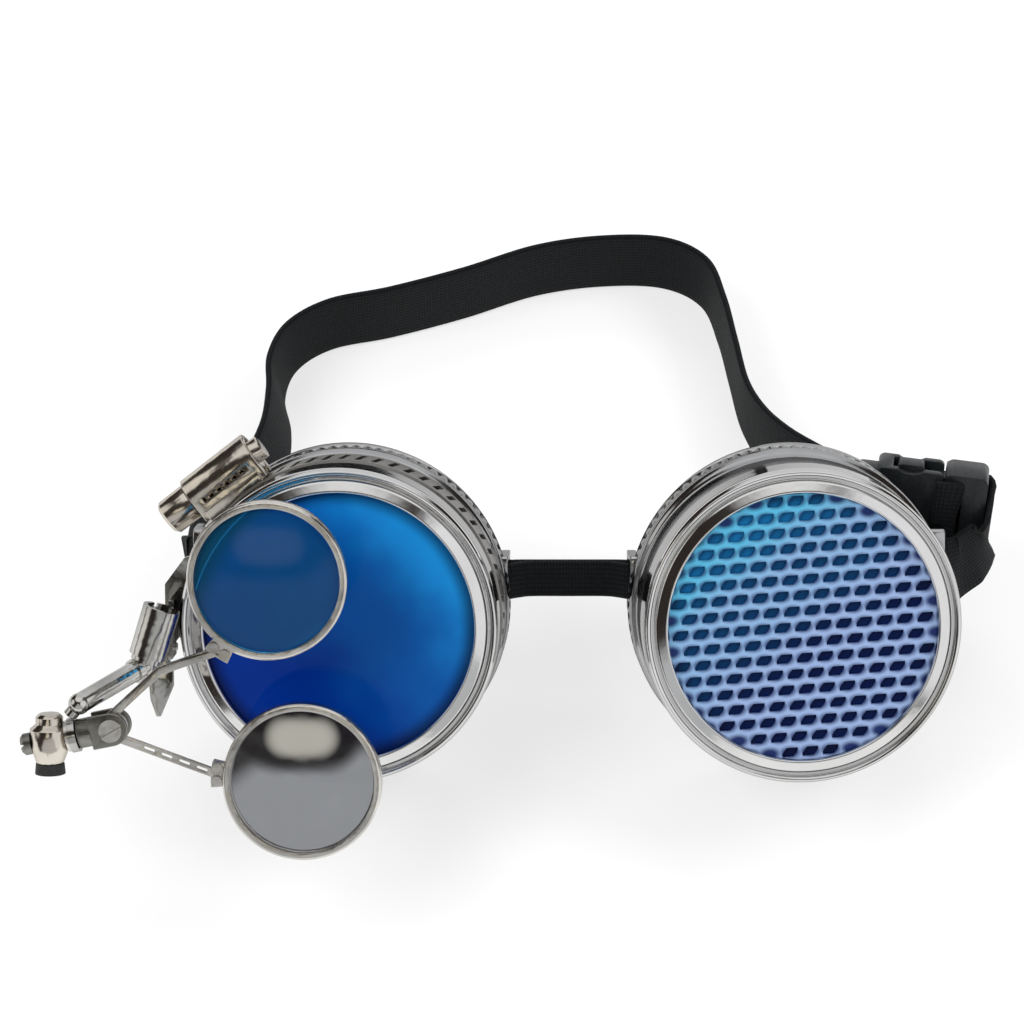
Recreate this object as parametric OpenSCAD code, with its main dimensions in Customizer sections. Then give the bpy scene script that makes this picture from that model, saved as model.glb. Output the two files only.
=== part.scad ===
// Costume goggles with two screw-on lens rings and a clip-on double loupe.
// They rest on a table: the cups lean back on their rear rims and the head strap
// stands on its edge behind them. X is to the viewer's right, Y is away, Z is up.

/* [Goggles] */
// Distance between the middles of the two cups
cup_pitch = 86; // [84:0.5:92]
// Angle by which each cup points outward
toe_out = 3; // [1:0.5:5]
// Angle by which the cups lean back from upright
lean_back = 46; // [42:1:50]

/* [Lens rings] */
// Radius of the clear view through a lens ring
sight_r = 25; // [22:0.25:25.5]
// Width of the ring's lip over the lens
lens_lap = 1.6; // [1.2:0.1:2.5]
// Room round the lens inside its ring
lens_play = 0.3; // [0.2:0.05:0.5]
// Wall of the lens ring
ring_wall = 2.7; // [2:0.1:3.5]
// Depth of the lens ring from lip to rear edge
ring_depth = 9.4; // [9:0.1:11]
// Thickness of the ring's front lip
lip_t = 1.4; // [1:0.1:2]
// Running clearance between the ring and the cup's screw spigot
thread_play = 0.08; // [0.05:0.01:0.1]
// Thickness of a lens
lens_t = 2; // [1.5:0.1:2.5]
// Thickness of the rubber washer behind the right grille and lens
washer_t = 1; // [0.8:0.1:1.4]

/* [Grille] */
// Thickness of the expanded metal in front of the right lens
grille_t = 0.8; // [0.5:0.1:1]
// Distance between two holes of a row
hole_pitch = 3.8; // [3.6:0.1:5]
// Distance between two rows of holes
row_pitch = 2.95; // [2.6:0.05:3.6]
// Length of one slanted hole
hole_l = 3; // [2:0.1:3.1]
// Height of one slanted hole
hole_h = 1.8; // [1.2:0.1:1.9]
// Rise of the rows to the viewer's right
row_rise = 4; // [0:0.5:10]

/* [Cups] */
// Step from the lens ring down to the barrel
barrel_step = 0.5; // [0.4:0.1:0.9]
// Step from the lens ring up to the rear collar
collar_step = 0.9; // [0.7:0.1:1.2]
// Length of the bare barrel between ring and collar
barrel_l = 9.4; // [9.2:0.1:12]
// Length of the collar's smooth front
collar_l = 3.4; // [2.5:0.1:5]
// Length of the ribbed band behind it
rib_l = 3.5; // [2.5:0.1:5]
// Number of grip ribs round the band
rib_count = 84; // [48:2:96]
// Height of a grip rib
rib_h = 0.5; // [0.3:0.05:0.7]
// Wall of the skirt at the face side
skirt_wall = 1.5; // [1.2:0.1:2]
// Depth of the groove between the ribbed band and the rolled rear rim
groove_d = 1.2; // [0.8:0.1:1.4]
// Distance from the lens ring's face to the middle of the rear rim
rim_b = 30; // [29:0.5:34]
// How much deeper the rim runs for each millimetre outward
rim_slope = 0.1; // [0:0.01:0.12]
// Depth of the rubber edge's lining inside the rim
trim_w = 3.4; // [2.5:0.1:5]
// Wall of the rubber edge
trim_wall = 1.1; // [0.8:0.1:1.4]

/* [Straps] */
// Width of the elastic head strap
strap_w = 16.5; // [15:0.5:19]
// Thickness of the elastic head strap
strap_t = 1.2; // [1:0.1:1.4]
// Width of the nose strap
nose_w = 7; // [5:0.5:9]
// Thickness of the nose strap
nose_t = 1.2; // [0.8:0.1:1.4]
// Thickness of a strap bar on the cups, seen from the side
bar_w = 2.2; // [1.8:0.1:2.4]
// Thickness of the plate that the bars belong to
tab_t = 1.6; // [1.2:0.1:1.8]
// Width of the window that a strap passes through
window_w = 3.2; // [3:0.1:3.6]

/* [Buckle] */
// Width of the buckle across the strap
buckle_w = 23; // [22.5:0.5:26]
// Thickness of the buckle
buckle_t = 6.2; // [6:0.2:7]
// Length of the socket half
socket_l = 17; // [16:0.5:20]
// Length of the plug's base outside the socket
base_l = 8.4; // [8:0.2:10]
// Wall of the socket
socket_wall = 1.3; // [1:0.1:1.6]
// Thickness of a spring arm
prong_t = 2.2; // [1.8:0.1:2.6]

/* [Band clamp] */
// Thickness of the clamp's steel band
band_t = 0.7; // [0.5:0.05:0.9]
// Width of the clamp's steel band
band_w = 8.6; // [7:0.1:9]
// Number of worm slots in the band
slot_count = 60; // [40:1:66]
// Radius of the worm under its saddle
worm_r = 3.3; // [3:0.1:3.6]
// Length of the saddle along the worm
saddle_l = 14.5; // [12:0.5:15]
// Place of the saddle round the barrel, from straight outward
saddle_angle = 52; // [46:1:60]

/* [Loupes] */
// Outer radius of a loupe rim
loupe_r = 14.5; // [13:0.25:15]
// Radial width of a loupe rim
rim_band = 1.3; // [1:0.1:1.8]
// Depth of a loupe rim
rim_depth = 3.2; // [2.6:0.1:4]
// Thickness of a loupe lens at its edge
loupe_edge_t = 1.2; // [1:0.1:1.6]
// Bulge of a loupe lens on each side
loupe_bulge = 0.9; // [0.5:0.1:1.2]
// Distance from the pivot to the upper lens centre
upper_reach = 39.6; // [38:0.2:41]
// Direction of the upper arm above level, pointing inward
upper_angle = 44; // [38:1:48]
// Distance from the pivot to the lower lens centre
lower_reach = 35.7; // [34.5:0.2:37]
// Direction of the lower arm below level, pointing inward
lower_angle = 16; // [10:1:22]
// Width of a loupe arm
arm_w = 1.6; // [1.4:0.1:2.4]
// Thickness of a loupe arm
arm_t = 1.3; // [1:0.1:1.6]
// Radius of the pivot screw's shank
pivot_r = 1.1; // [0.9:0.05:1.3]
// Radius of the bent post that carries the loupes
post_r = 1.9; // [1.7:0.1:2]
// Radius of the journal on which the post turns in the clip
journal_r = 2.6; // [2.4:0.1:2.8]
// Wall of the clip's rolled sleeve
sleeve_wall = 0.8; // [0.7:0.1:1]
// Height of the clip's rolled sleeve
sleeve_h = 9.4; // [8.6:0.2:10.4]

/* [Hidden] */

// Facets of round pieces, and of small ones
$fn = 96;
small_fn = 40;

// Gap between faces that lie on each other, gap round a moving piece, running fit
seat = 0.05;
gap = 0.3;
run = 0.08;
// Overshoot of a cut past the face that it opens
past = 1;

// Radii of one cup's pieces, from the lens outward
lens_r = sight_r + lens_lap;
ring_bore_r = lens_r + lens_play;
spigot_r = ring_bore_r - thread_play;
ring_r = ring_bore_r + ring_wall;
barrel_r = ring_r - barrel_step;
collar_r = ring_r + collar_step;
skirt_r = collar_r - groove_d;
eye_r = skirt_r - skirt_wall;

// Depths of one cup's pieces behind the front of its lens ring
lens_b = lip_t + seat;
right_lens_b = lens_b + grille_t + seat;
washer_b = right_lens_b + lens_t + seat;
seat_b = washer_b + washer_t + seat;
shoulder_b = ring_depth + gap;
collar_b = shoulder_b + barrel_l;
rib_b = collar_b + collar_l;
skirt_b = rib_b + rib_l;
collar_slope = 1.3;
groove_w = 1.2;
bore_step_b = shoulder_b + 1.5;

// Strap tabs: the strap's middle lies above the cup's middle
tab_rise = 3.5;
window_b = skirt_b + 3.2;
bar_b = window_b + window_w;
bar_mid_b = bar_b + bar_w / 2;
temple_bar_x = barrel_r + 0.4;
nose_bar_x = barrel_r + 0.1;
tab_round = 1.5;
tab_side = 1.7;
loop_r = norm([bar_w, tab_t]) / 2 + gap;

// Height of the cup's lens centres over the table: the rubber edge touches it
trim_r = collar_r - 0.3;
trim_out = 1.2;
rim_lean = sin(toe_out) + rim_slope * cos(toe_out);
stand_h = (rim_b + trim_out) * sin(lean_back) * cos(toe_out) + trim_r * norm([cos(lean_back), sin(lean_back) * rim_lean]);
// Places the middle of the whole footprint at the origin
shift_x = 8.45;
shift_y = -38;

// Turned and moved points: a worn point stands on the table, a cup point is measured
// from its ring's face with X outward, Y back and Z up, a buckle point along its length
function turned_back(v) = [v.x, v.y * cos(lean_back) + v.z * sin(lean_back),
  v.z * cos(lean_back) - v.y * sin(lean_back)];
function table_point(v) = turned_back(v) + [shift_x, shift_y, stand_h];
function cup_vector(side, v) = [side * (v.x * cos(toe_out) - v.y * sin(toe_out)),
  v.x * sin(toe_out) + v.y * cos(toe_out), v.z];
function cup_point(side, v) = table_point([side * cup_pitch / 2, 0, 0] + cup_vector(side, v));
function cup_direction(side, v) = turned_back(cup_vector(side, v));
function unit(v) = v / norm(v);

module on_table() {
  translate([shift_x, shift_y, stand_h]) rotate([-lean_back, 0, 0]) children();
}
module at_right_cup() {
  on_table() translate([cup_pitch / 2, 0, 0]) rotate([0, 0, toe_out]) children();
}
module at_left_cup() {
  on_table() mirror([1, 0, 0]) translate([cup_pitch / 2, 0, 0]) rotate([0, 0, toe_out]) children();
}
// Turns a profile of [radius, depth] round the cup's axis
module turned_piece(profile) {
  rotate([-90, 0, 0]) rotate_extrude() polygon(profile);
}
module disc(r, from_b, to_b) {
  translate([0, from_b, 0]) rotate([-90, 0, 0]) cylinder(r = r, h = to_b - from_b);
}
module rounded_plate(w, h, r) {
  square([w - 2 * r, h], center = true);
  square([w, h - 2 * r], center = true);
  for (x = [-1, 1], y = [-1, 1]) translate([x * (w / 2 - r), y * (h / 2 - r)]) circle(r, $fn = small_fn);
}
// A rod from one point to another
module rod(a, b, r) {
  d = b - a;
  translate(a) rotate([0, acos(d.z / norm(d)), atan2(d.y, d.x)])
    cylinder(r = r, h = norm(d), $fn = small_fn);
}

// Cups: a chromed shell with screw spigot, barrel, ribbed collar, skirt and strap tabs
module rib_band() {
  translate([0, rib_b, 0]) rotate([-90, 0, 0]) linear_extrude(rib_l)
    polygon([for (i = [0 : 2 * rib_count - 1])
      let (a = 180 * i / rib_count, r = collar_r - (i % 2) * rib_h) [r * cos(a), r * sin(a)]]);
}
// One strap tab: a plate beside the skirt with a window and a bar, on a solid root
module strap_tab(bar_x, strap) {
  window_h = strap + 1;
  tab_h = window_h + 2 * tab_side;
  tab_end_b = bar_b + bar_w;
  tab_from_b = skirt_b + 2 * seat;
  difference() {
    translate([0, 0, tab_rise]) rotate([90, 0, 90]) linear_extrude(bar_x + tab_t / 2)
      translate([(tab_from_b + tab_end_b) / 2, 0]) rounded_plate(tab_end_b - tab_from_b, tab_h, tab_round);
    // Room behind the root, so that only the plate is left beside the window
    translate([-past, window_b, tab_rise - tab_h / 2 - past])
      cube([bar_x - tab_t / 2 + past, tab_end_b, tab_h + 2 * past]);
    translate([0, window_b, tab_rise - window_h / 2]) cube([bar_x + 2 * tab_t, window_w, window_h]);
  }
}
// Notch of the rim in which a strap passes round its bar
module rim_notch(strap) {
  translate([eye_r / 2, window_b + 0.1, tab_rise - strap / 2 - 0.7]) cube([collar_r, rim_b, strap + 1.4]);
}
// Room for both tabs and the strap loops where they pass through the rubber edge
module rim_tab_room() {
  tab_room(temple_bar_x - strap_mid_r, strap_w);
  mirror([1, 0, 0]) tab_room(nose_bar_x - strap_mid_r, nose_w);
}
module tab_room(from_x, strap) {
  room_h = strap + 1 + 2 * tab_side + 2 * gap;
  translate([from_x - strap_t / 2 - gap, skirt_b, tab_rise - room_h / 2]) cube([collar_r, rim_b, room_h]);
}
module behind_rim(from) {
  translate([0, rim_b + from, 0]) rotate([0, 0, atan(rim_slope)])
    translate([-2 * collar_r, 0, -2 * collar_r]) cube([4 * collar_r, 2 * collar_r, 4 * collar_r]);
}
module cup_shell() {
  rib_core_r = collar_r - rib_h - 0.2;
  difference() {
    union() {
      difference() {
        union() {
          turned_piece([[0, seat_b], [spigot_r, seat_b], [spigot_r, shoulder_b], [barrel_r, shoulder_b],
            [barrel_r, collar_b], [collar_r, collar_b + collar_slope], [collar_r, rib_b - rib_h],
            [rib_core_r, rib_b], [rib_core_r, skirt_b], [skirt_r, skirt_b],
            [skirt_r, skirt_b + groove_w], [collar_r, skirt_b + groove_w + groove_d / 2],
            [collar_r, 2 * rim_b], [0, 2 * rim_b]]);
          rib_band();
        }
        behind_rim(0);
        rim_notch(strap_w);
        mirror([1, 0, 0]) rim_notch(nose_w);
      }
      strap_tab(temple_bar_x, strap_w);
      mirror([1, 0, 0]) strap_tab(nose_bar_x, nose_w);
    }
    turned_piece([[0, seat_b - past], [sight_r, seat_b - past], [sight_r, bore_step_b],
      [eye_r, bore_step_b + eye_r - sight_r], [eye_r, 3 * rim_b], [0, 3 * rim_b]]);
  }
}
module left_cup() { color("silver") at_left_cup() cup_shell(); }
module right_cup() { color("silver") at_right_cup() cup_shell(); }

// Rubber edge: a lining inside the slanting rim with a lip behind it
module rim_trim() {
  difference() {
    disc(trim_r, 0, 2 * rim_b);
    disc(eye_r - trim_wall, -past, 2 * rim_b + past);
    behind_rim(trim_out);
    difference() {
      disc(2 * collar_r, -past, 2 * rim_b);
      behind_rim(trim_out - trim_w);
    }
    difference() {
      disc(2 * collar_r, 0, 2 * rim_b);
      disc(eye_r - seat, -past, 2 * rim_b + past);
      behind_rim(seat);
    }
    rim_tab_room();
  }
}
module left_rim_trim() { color("black") at_left_cup() rim_trim(); }
module right_rim_trim() { color("black") at_right_cup() rim_trim(); }

// Lens rings: a lip with a rounded crest and a dark groove, screwed over the spigot
module lens_ring() {
  crest = 0.9;
  groove = 0.5;
  edge = 0.6;
  crest_r = sight_r + 1.4;
  groove_r = ring_r - 1.7;
  turned_piece([[sight_r, lip_t], [sight_r, crest], [crest_r - crest, crest / 4], [crest_r, 0],
    [groove_r - groove, crest / 4], [groove_r, crest + groove], [groove_r + groove, crest + groove],
    [groove_r + groove, crest], [ring_r - edge, crest / 2], [ring_r, crest + edge],
    [ring_r, ring_depth - edge], [ring_r - edge, ring_depth], [ring_bore_r, ring_depth], [ring_bore_r, lip_t]]);
}
module left_lens_ring() { color("silver") at_left_cup() lens_ring(); }
module right_lens_ring() { color("silver") at_right_cup() lens_ring(); }

// Lenses: flat discs with a small bevel towards the wearer
module goggle_lens(from_b) {
  bevel = 0.4;
  turned_piece([[0, from_b], [lens_r, from_b], [lens_r, from_b + lens_t - bevel],
    [lens_r - bevel, from_b + lens_t], [0, from_b + lens_t]]);
}
module left_lens() { color("royalblue", 0.8) at_left_cup() goggle_lens(lens_b); }
module right_lens() { color("royalblue", 0.8) at_right_cup() goggle_lens(right_lens_b); }

// Grille of expanded metal: slanted six-sided holes in staggered rows
module slanted_hole() {
  polygon([[-hole_l / 2, -hole_h / 2], [hole_l / 5, -hole_h / 2], [hole_l / 2, hole_h / 8],
    [hole_l / 2, hole_h / 2], [-hole_l / 5, hole_h / 2], [-hole_l / 2, -hole_h / 8]]);
}
module right_grille() {
  rows = floor(sight_r / row_pitch);
  color("lightsteelblue") at_right_cup() translate([0, lens_b + grille_t, 0]) rotate([90, 0, 0])
    linear_extrude(grille_t) difference() {
      circle(lens_r);
      rotate(row_rise) for (row = [-rows : rows]) {
        row_shift = (row % 2 == 0) ? 0 : hole_pitch / 2;
        reach = sight_r - hole_l / 4;
        half = sqrt(max(0, pow(reach, 2) - pow(row * row_pitch, 2)));
        if (abs(row * row_pitch) < reach)
          for (i = [-ceil(sight_r / hole_pitch) : ceil(sight_r / hole_pitch)])
            if (abs(i * hole_pitch + row_shift) < half)
              translate([i * hole_pitch + row_shift, row * row_pitch]) slanted_hole();
      }
    }
}

// Rubber washers: the left one also fills the place that the grille takes on the right
module washer_ring(from_b) {
  difference() {
    disc(lens_r, from_b, seat_b - seat);
    disc(sight_r, from_b - past, seat_b + past);
  }
}
module left_lens_washer() { color("dimgray") at_left_cup() washer_ring(lens_b + lens_t + seat); }
module right_lens_washer() { color("dimgray") at_right_cup() washer_ring(washer_b); }

// Nose strap: a flat band that is looped round the inner bar of each cup
module nose_strap() {
  bar_mid = [cup_pitch / 2, 0] + [-nose_bar_x * cos(toe_out) - bar_mid_b * sin(toe_out),
    bar_mid_b * cos(toe_out) - nose_bar_x * sin(toe_out)];
  color("black") on_table() translate([0, 0, tab_rise - nose_w / 2]) linear_extrude(nose_w) difference() {
    union() {
      for (side = [-1, 1]) translate([side * bar_mid.x, bar_mid.y]) circle(loop_r + nose_t, $fn = small_fn);
      translate([-bar_mid.x, bar_mid.y + loop_r]) square([2 * bar_mid.x, nose_t]);
      for (side = [-1, 1]) translate([side * bar_mid.x / 2, bar_mid.y + loop_r / 2])
        square([bar_mid.x - 1.2 * loop_r, loop_r + nose_t], center = true);
    }
    for (side = [-1, 1]) translate([side * bar_mid.x, bar_mid.y]) circle(loop_r, $fn = small_fn);
  }
}

// Ribbons: each station has a middle and half of the strap's width as a vector
function blend_row(rows, i, t) =
  let (p0 = rows[max(i - 1, 0)], p1 = rows[i], p2 = rows[i + 1], p3 = rows[min(i + 2, len(rows) - 1)])
  0.5 * (2 * p1 + (p2 - p0) * t + (2 * p0 - 5 * p1 + 4 * p2 - p3) * t * t
    + (3 * p1 - p0 - 3 * p2 + p3) * t * t * t);
function smooth_rows(rows, steps) = concat(
  [for (i = [0 : len(rows) - 2], s = [0 : steps - 1]) blend_row(rows, i, s / steps)],
  [rows[len(rows) - 1]]);
function middle(row) = [row[0], row[1], row[2]];
function across(row, w) = unit([row[3], row[4], row[5]]) * w / 2;
function ribbon_corners(rows, i, w, t) =
  let (last = len(rows) - 1, c = middle(rows[i]), a = across(rows[i], w),
    along = middle(rows[min(i + 1, last)]) - middle(rows[max(i - 1, 0)]),
    n = unit(cross(along, a)) * t / 2)
  [c + a + n, c + a - n, c - a - n, c - a + n];
module ribbon(rows, w, t) {
  last = len(rows) - 1;
  corners = [for (i = [0 : last]) each ribbon_corners(rows, i, w, t)];
  sides = [for (i = [0 : last - 1], k = [0 : 3])
    let (a = 4 * i + k, b = 4 * i + (k + 1) % 4) each [[a, b, b + 4], [a, b + 4, a + 4]]];
  ends = [[2, 1, 0], [3, 2, 0], [4 * last, 4 * last + 1, 4 * last + 2], [4 * last, 4 * last + 2, 4 * last + 3]];
  polyhedron(points = corners, faces = concat(sides, ends));
}
// A row of a ribbon: its middle and the direction of its width
function row(p, v) = [p.x, p.y, p.z, v.x, v.y, v.z];
// A strap loop round a bar in a frame whose X and Y lie across the bar
function loop_points(bar, r, from_a, to_a, steps) =
  [for (s = [0 : steps]) let (a = from_a + (to_a - from_a) * s / steps) bar + r * [cos(a), sin(a)]];

// Head strap: sewn round the left temple bar, on its edge behind, to the socket's bar
strap_mid_r = loop_r + strap_t / 2;
strap_end_x = temple_bar_x - strap_mid_r;
left_loop = [for (p = concat([[strap_end_x, bar_mid_b + 7]],
    loop_points([temple_bar_x, bar_mid_b], strap_mid_r, 180, 360, 8)))
  row(cup_point(-1, [p.x, p.y, tab_rise]), cup_direction(-1, [0, 0, 1]))];
// Plan of the strap's run over the table, its height and the lean of its upper edge
stand_z = strap_w / 2 + 0.1;
strap_run = [[-72.5, 36, 16.5, 0, 0.5, 1], [-68, 46.5, 13, -0.1, 0.3, 1], [-62.5, 57, 11, -0.2, 0.1, 1],
  [-59, 67.3, 10, -0.25, 0, 1], [-58.4, 76, 9.7, -0.22, 0, 1], [-59.2, 84.5, 9.5, -0.12, 0, 1],
  [-56.3, 92.5, 9.5, -0.05, 0, 1], [-48.5, 98.3, 9.5, 0, 0, 1], [-36, 101.5, 9.5, 0, 0, 1],
  [-21, 106.5, 9.5, 0, 0, 1], [-6, 112.5, 9.5, 0, 0, 1], [8, 115, 9.5, 0, 0, 1],
  [21, 114.5, 9.5, 0, 0, 1], [29.3, 109.3, 9.5, 0, 0, 1], [32.6, 99.5, 9.5, 0, 0, 1],
  [34.6, 88.5, 9.5, 0, 0, 1], [36.6, 77.5, 9.6, 0, 0, 1], [40, 68.3, 11.2, 0, 0.1, 1],
  [44.5, 59.8, 14.5, 0, 0.25, 1], [50, 52, 18.5, 0, 0.4, 1]];
strap_plan = [for (p = strap_run)
  [p[0] + shift_x, p[1] + shift_y, p[2] - strap_run[8][2] + stand_z, p[3], p[4], p[5]]];
module head_strap() {
  color("black") ribbon(concat(left_loop, smooth_rows(strap_plan, 4), socket_loop), strap_w, strap_t);
}

// Buckle: its long axis points to the plug's end, it leans back and turns to the rear
buckle_at = [66.9, 40.9, 21.5];
buckle_lean = 25;
buckle_turn = 9;
function buckle_vector(v) =
  let (l = [v.x, v.y * cos(buckle_lean) + v.z * sin(buckle_lean), v.z * cos(buckle_lean) - v.y * sin(buckle_lean)])
  [l.x * cos(buckle_turn) + l.y * sin(buckle_turn), l.y * cos(buckle_turn) - l.x * sin(buckle_turn), l.z];
function buckle_point(v) = buckle_at + [shift_x, shift_y, 0] + buckle_vector(v);
module at_buckle() {
  translate(buckle_at + [shift_x, shift_y, 0]) rotate([-buckle_lean, 0, -buckle_turn]) children();
}
// Lengths along the buckle: the mouth, the socket's bar, the plug's end
mouth_x = 5.4;
socket_x = mouth_x - socket_l;
socket_bar_w = 1.5;
strap_slot_w = 2.7;
end_t = 3.2;
cavity_x = socket_x + socket_bar_w + strap_slot_w + 1.1;
cavity_t = buckle_t - 2 * socket_wall;
cavity_w = buckle_w - 2.4;
pad_x = [cavity_x + 2.6, mouth_x - 3.8];
base_x = mouth_x + gap;
base_end_x = base_x + base_l;
ladder_x = [base_x + 1.4, base_x + 3.8];
bar_t = 6.6;
module slab_xz(w, h, t, r) {
  rotate([90, 0, 0]) translate([0, 0, -t / 2]) linear_extrude(t) rounded_plate(w, h, r);
}
module buckle_socket() {
  full_x = cavity_x - 1.1;
  color("black") at_buckle() difference() {
    union() {
      translate([(full_x + mouth_x) / 2, 0, 0]) slab_xz(mouth_x - full_x, buckle_w, buckle_t, 1.2);
      translate([(socket_x + cavity_x) / 2, 0, 0]) slab_xz(cavity_x - socket_x, strap_w + 2 * gap + 3.4, end_t, 1.4);
    }
    translate([cavity_x, -cavity_t / 2, -cavity_w / 2]) cube([mouth_x - cavity_x + past, cavity_t, cavity_w]);
    translate([socket_x + socket_bar_w, -buckle_t, -strap_w / 2 - gap])
      cube([strap_slot_w, 2 * buckle_t, strap_w + 2 * gap]);
    // Side windows in which the thumb pads lie, open to the mouth
    translate([pad_x[0] - 0.8, -cavity_t / 2, -buckle_w])
      cube([mouth_x - pad_x[0] + 0.8 + past, cavity_t, 2 * buckle_w]);
    // Finger scoops above and below the pads
    for (s = [-1, 1]) translate([(pad_x[0] + pad_x[1]) / 2, 0, s * (buckle_w / 2 + 3.8)]) rotate([90, 0, 0])
      cylinder(r = 4.6, h = 2 * buckle_t, center = true, $fn = small_fn);
  }
}
module buckle_plug() {
  base_w = buckle_w + 0.6;
  guide_l = 11;
  guide_w = 6.4;
  neck_l = 2.8;
  color("black") at_buckle() difference() {
    union() {
      translate([base_x + 0.8, 0, 0]) slab_xz(1.6, buckle_w, buckle_t, 0.7);
      translate([base_x + base_l / 2, 0, 0]) slab_xz(base_l, base_w, bar_t, 1.6);
      // Neck inside the socket's mouth, and a centre guide between the two spring arms
      translate([base_x - neck_l, -cavity_t / 2 + gap, -cavity_w / 2 + gap])
        cube([neck_l + 1, cavity_t - 2 * gap, cavity_w - 2 * gap]);
      translate([base_x - guide_l, -cavity_t / 2 + gap, -guide_w / 2]) cube([guide_l + 1, cavity_t - 2 * gap, guide_w]);
    }
    translate([ladder_x[0], -buckle_t, -strap_w / 2 - gap])
      cube([ladder_x[1] - ladder_x[0], 2 * buckle_t, strap_w + 2 * gap + webbing_rise / 2]);
    for (s = [-1, 1]) {
      prong_root(s, root_r + run, 2 * buckle_t);
      // Room in which the arm swings
      translate([base_x + root_x - neck_l / 2, 0, s * prong_z]) cube([neck_l, cavity_t, prong_t + 1], center = true);
    }
  }
}
// Each spring arm turns on a round root that lies in the plug's base
prong_z = 7.9;
root_r = 0.9;
root_x = -1.3;
module prong_root(s, r, h) {
  translate([base_x + root_x, 0, s * prong_z]) rotate([90, 0, 0]) cylinder(r = r, h = h, center = true, $fn = small_fn);
}
module buckle_prong(s) {
  prong_h = cavity_t - 2 * gap;
  pad_out = buckle_w / 2 + 0.4;
  color("black") at_buckle() {
    prong_root(s, root_r, prong_h);
    translate([pad_x[0], -prong_h / 2, s * prong_z - prong_t / 2]) cube([base_x + root_x - 0.5 - pad_x[0], prong_h, prong_t]);
    translate([(pad_x[0] + pad_x[1]) / 2, 0, s * (prong_z + pad_out - prong_t / 2) / 2])
      slab_xz(pad_x[1] - pad_x[0], pad_out - prong_z + prong_t / 2, prong_h, 1);
  }
}
module upper_buckle_prong() { buckle_prong(1); }
module lower_buckle_prong() { buckle_prong(-1); }

// The head strap's end: in at the back, down through the slot, round the bar to the front
socket_bar_x = socket_x + socket_bar_w / 2;
loop_rx = socket_bar_w / 2 + gap + strap_t / 2 + 0.1;
loop_ry = end_t / 2 + gap + strap_t / 2 + 0.7;
socket_loop = [for (a = [110 : -30 : -130])
  row(buckle_point([socket_bar_x + loop_rx * cos(a), loop_ry * sin(a), 0]), buckle_vector([0, 0, 1]))];

// Buckle strap: from the right temple bar, past the plug's face, round its end bar
wrap_gap = gap + strap_t / 2;
wrap_y = bar_t / 2 + wrap_gap;
wrap_x = base_end_x + wrap_gap;
slot_mid_x = (ladder_x[0] + ladder_x[1]) / 2;
webbing_rise = 3.3;
right_loop = [for (p = loop_points([temple_bar_x, bar_mid_b], strap_mid_r, 150, 345, 8))
  row(cup_point(1, [p.x, p.y, tab_rise]), cup_direction(1, [0, 0, 1]))];
// Points of the wrap: along the buckle, from front to back, and up
plug_wrap = [[11.6, -7.6, -3], [13.6, -5.2, 0.4], [wrap_x - 0.3, -wrap_y + 0.6, webbing_rise],
  [wrap_x, -bar_t / 3, webbing_rise], [wrap_x, bar_t / 3, webbing_rise],
  [wrap_x - 0.3, wrap_y - 0.5, webbing_rise], [base_end_x, wrap_y + 0.1, webbing_rise],
  [slot_mid_x + 2, wrap_y + 0.1, webbing_rise], [slot_mid_x + 0.5, wrap_y - 0.3, webbing_rise / 2],
  [slot_mid_x, bar_t / 4, 0.4], [slot_mid_x, -0.4, 0.2]];
plug_rows = [for (p = plug_wrap) row(buckle_point(p), buckle_vector([0, 0, 1]))];
module buckle_strap() {
  color("black") ribbon(concat(right_loop, smooth_rows(plug_rows, 3)), strap_w - 1, strap_t);
}

// Band clamp round the left barrel: slotted band, pressed saddle, worm screw
band_b = shoulder_b + (barrel_l - band_w) / 2;
band_in_r = barrel_r + seat;
band_r = band_in_r + band_t;
saddle_t = 0.8;
worm_x = band_r + 1.4 + worm_r;
worm_shift = -1.8;
module at_saddle() {
  at_left_cup() rotate([0, -saddle_angle, 0]) translate([0, band_b + band_w / 2, worm_shift]) children();
}
module clamp_band() {
  slot_w = 1.1;
  slot_l = band_w - 3;
  color("lightgray") at_left_cup() difference() {
    disc(band_r, band_b, band_b + band_w);
    disc(band_in_r, band_b - past, band_b + band_w + past);
    for (i = [0 : slot_count - 1]) rotate([0, i * 360 / slot_count, 0])
      translate([band_r, band_b + band_w / 2, 0]) rotate([12, 0, 0])
        cube([4 * band_t, slot_l, slot_w], center = true);
  }
}
// Saddle: a tunnel over the worm on a foot that is rolled round the band
module clamp_saddle() {
  tunnel_r = worm_r + run + saddle_t;
  foot_w = band_w + 1.4;
  color("lightgray") at_saddle() difference() {
    union() {
      translate([worm_x, 0, 0]) cylinder(r = tunnel_r, h = saddle_l, center = true);
      translate([(band_r + worm_x) / 2, 0, 0]) cube([worm_x - band_r, 2 * tunnel_r, saddle_l], center = true);
      translate([band_r + saddle_t / 2, 0, 0]) cube([3 * saddle_t, foot_w, saddle_l - 2], center = true);
    }
    translate([worm_x, 0, 0]) cylinder(r = worm_r + run, h = saddle_l + 2 * past, center = true);
    translate([band_r + worm_r / 2, 0, 0])
      cube([worm_r, 2 * worm_r * 0.8, saddle_l + 2 * past], center = true);
    translate([0, 0, -worm_shift]) rotate([-90, 0, 0]) cylinder(r = band_r + seat, h = 4 * band_w, center = true);
    // Slit along the side that faces forward
    translate([worm_x - 1.3, -tunnel_r, 0]) cube([1.1, 3 * saddle_t, saddle_l - 4], center = true);
  }
}
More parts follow.
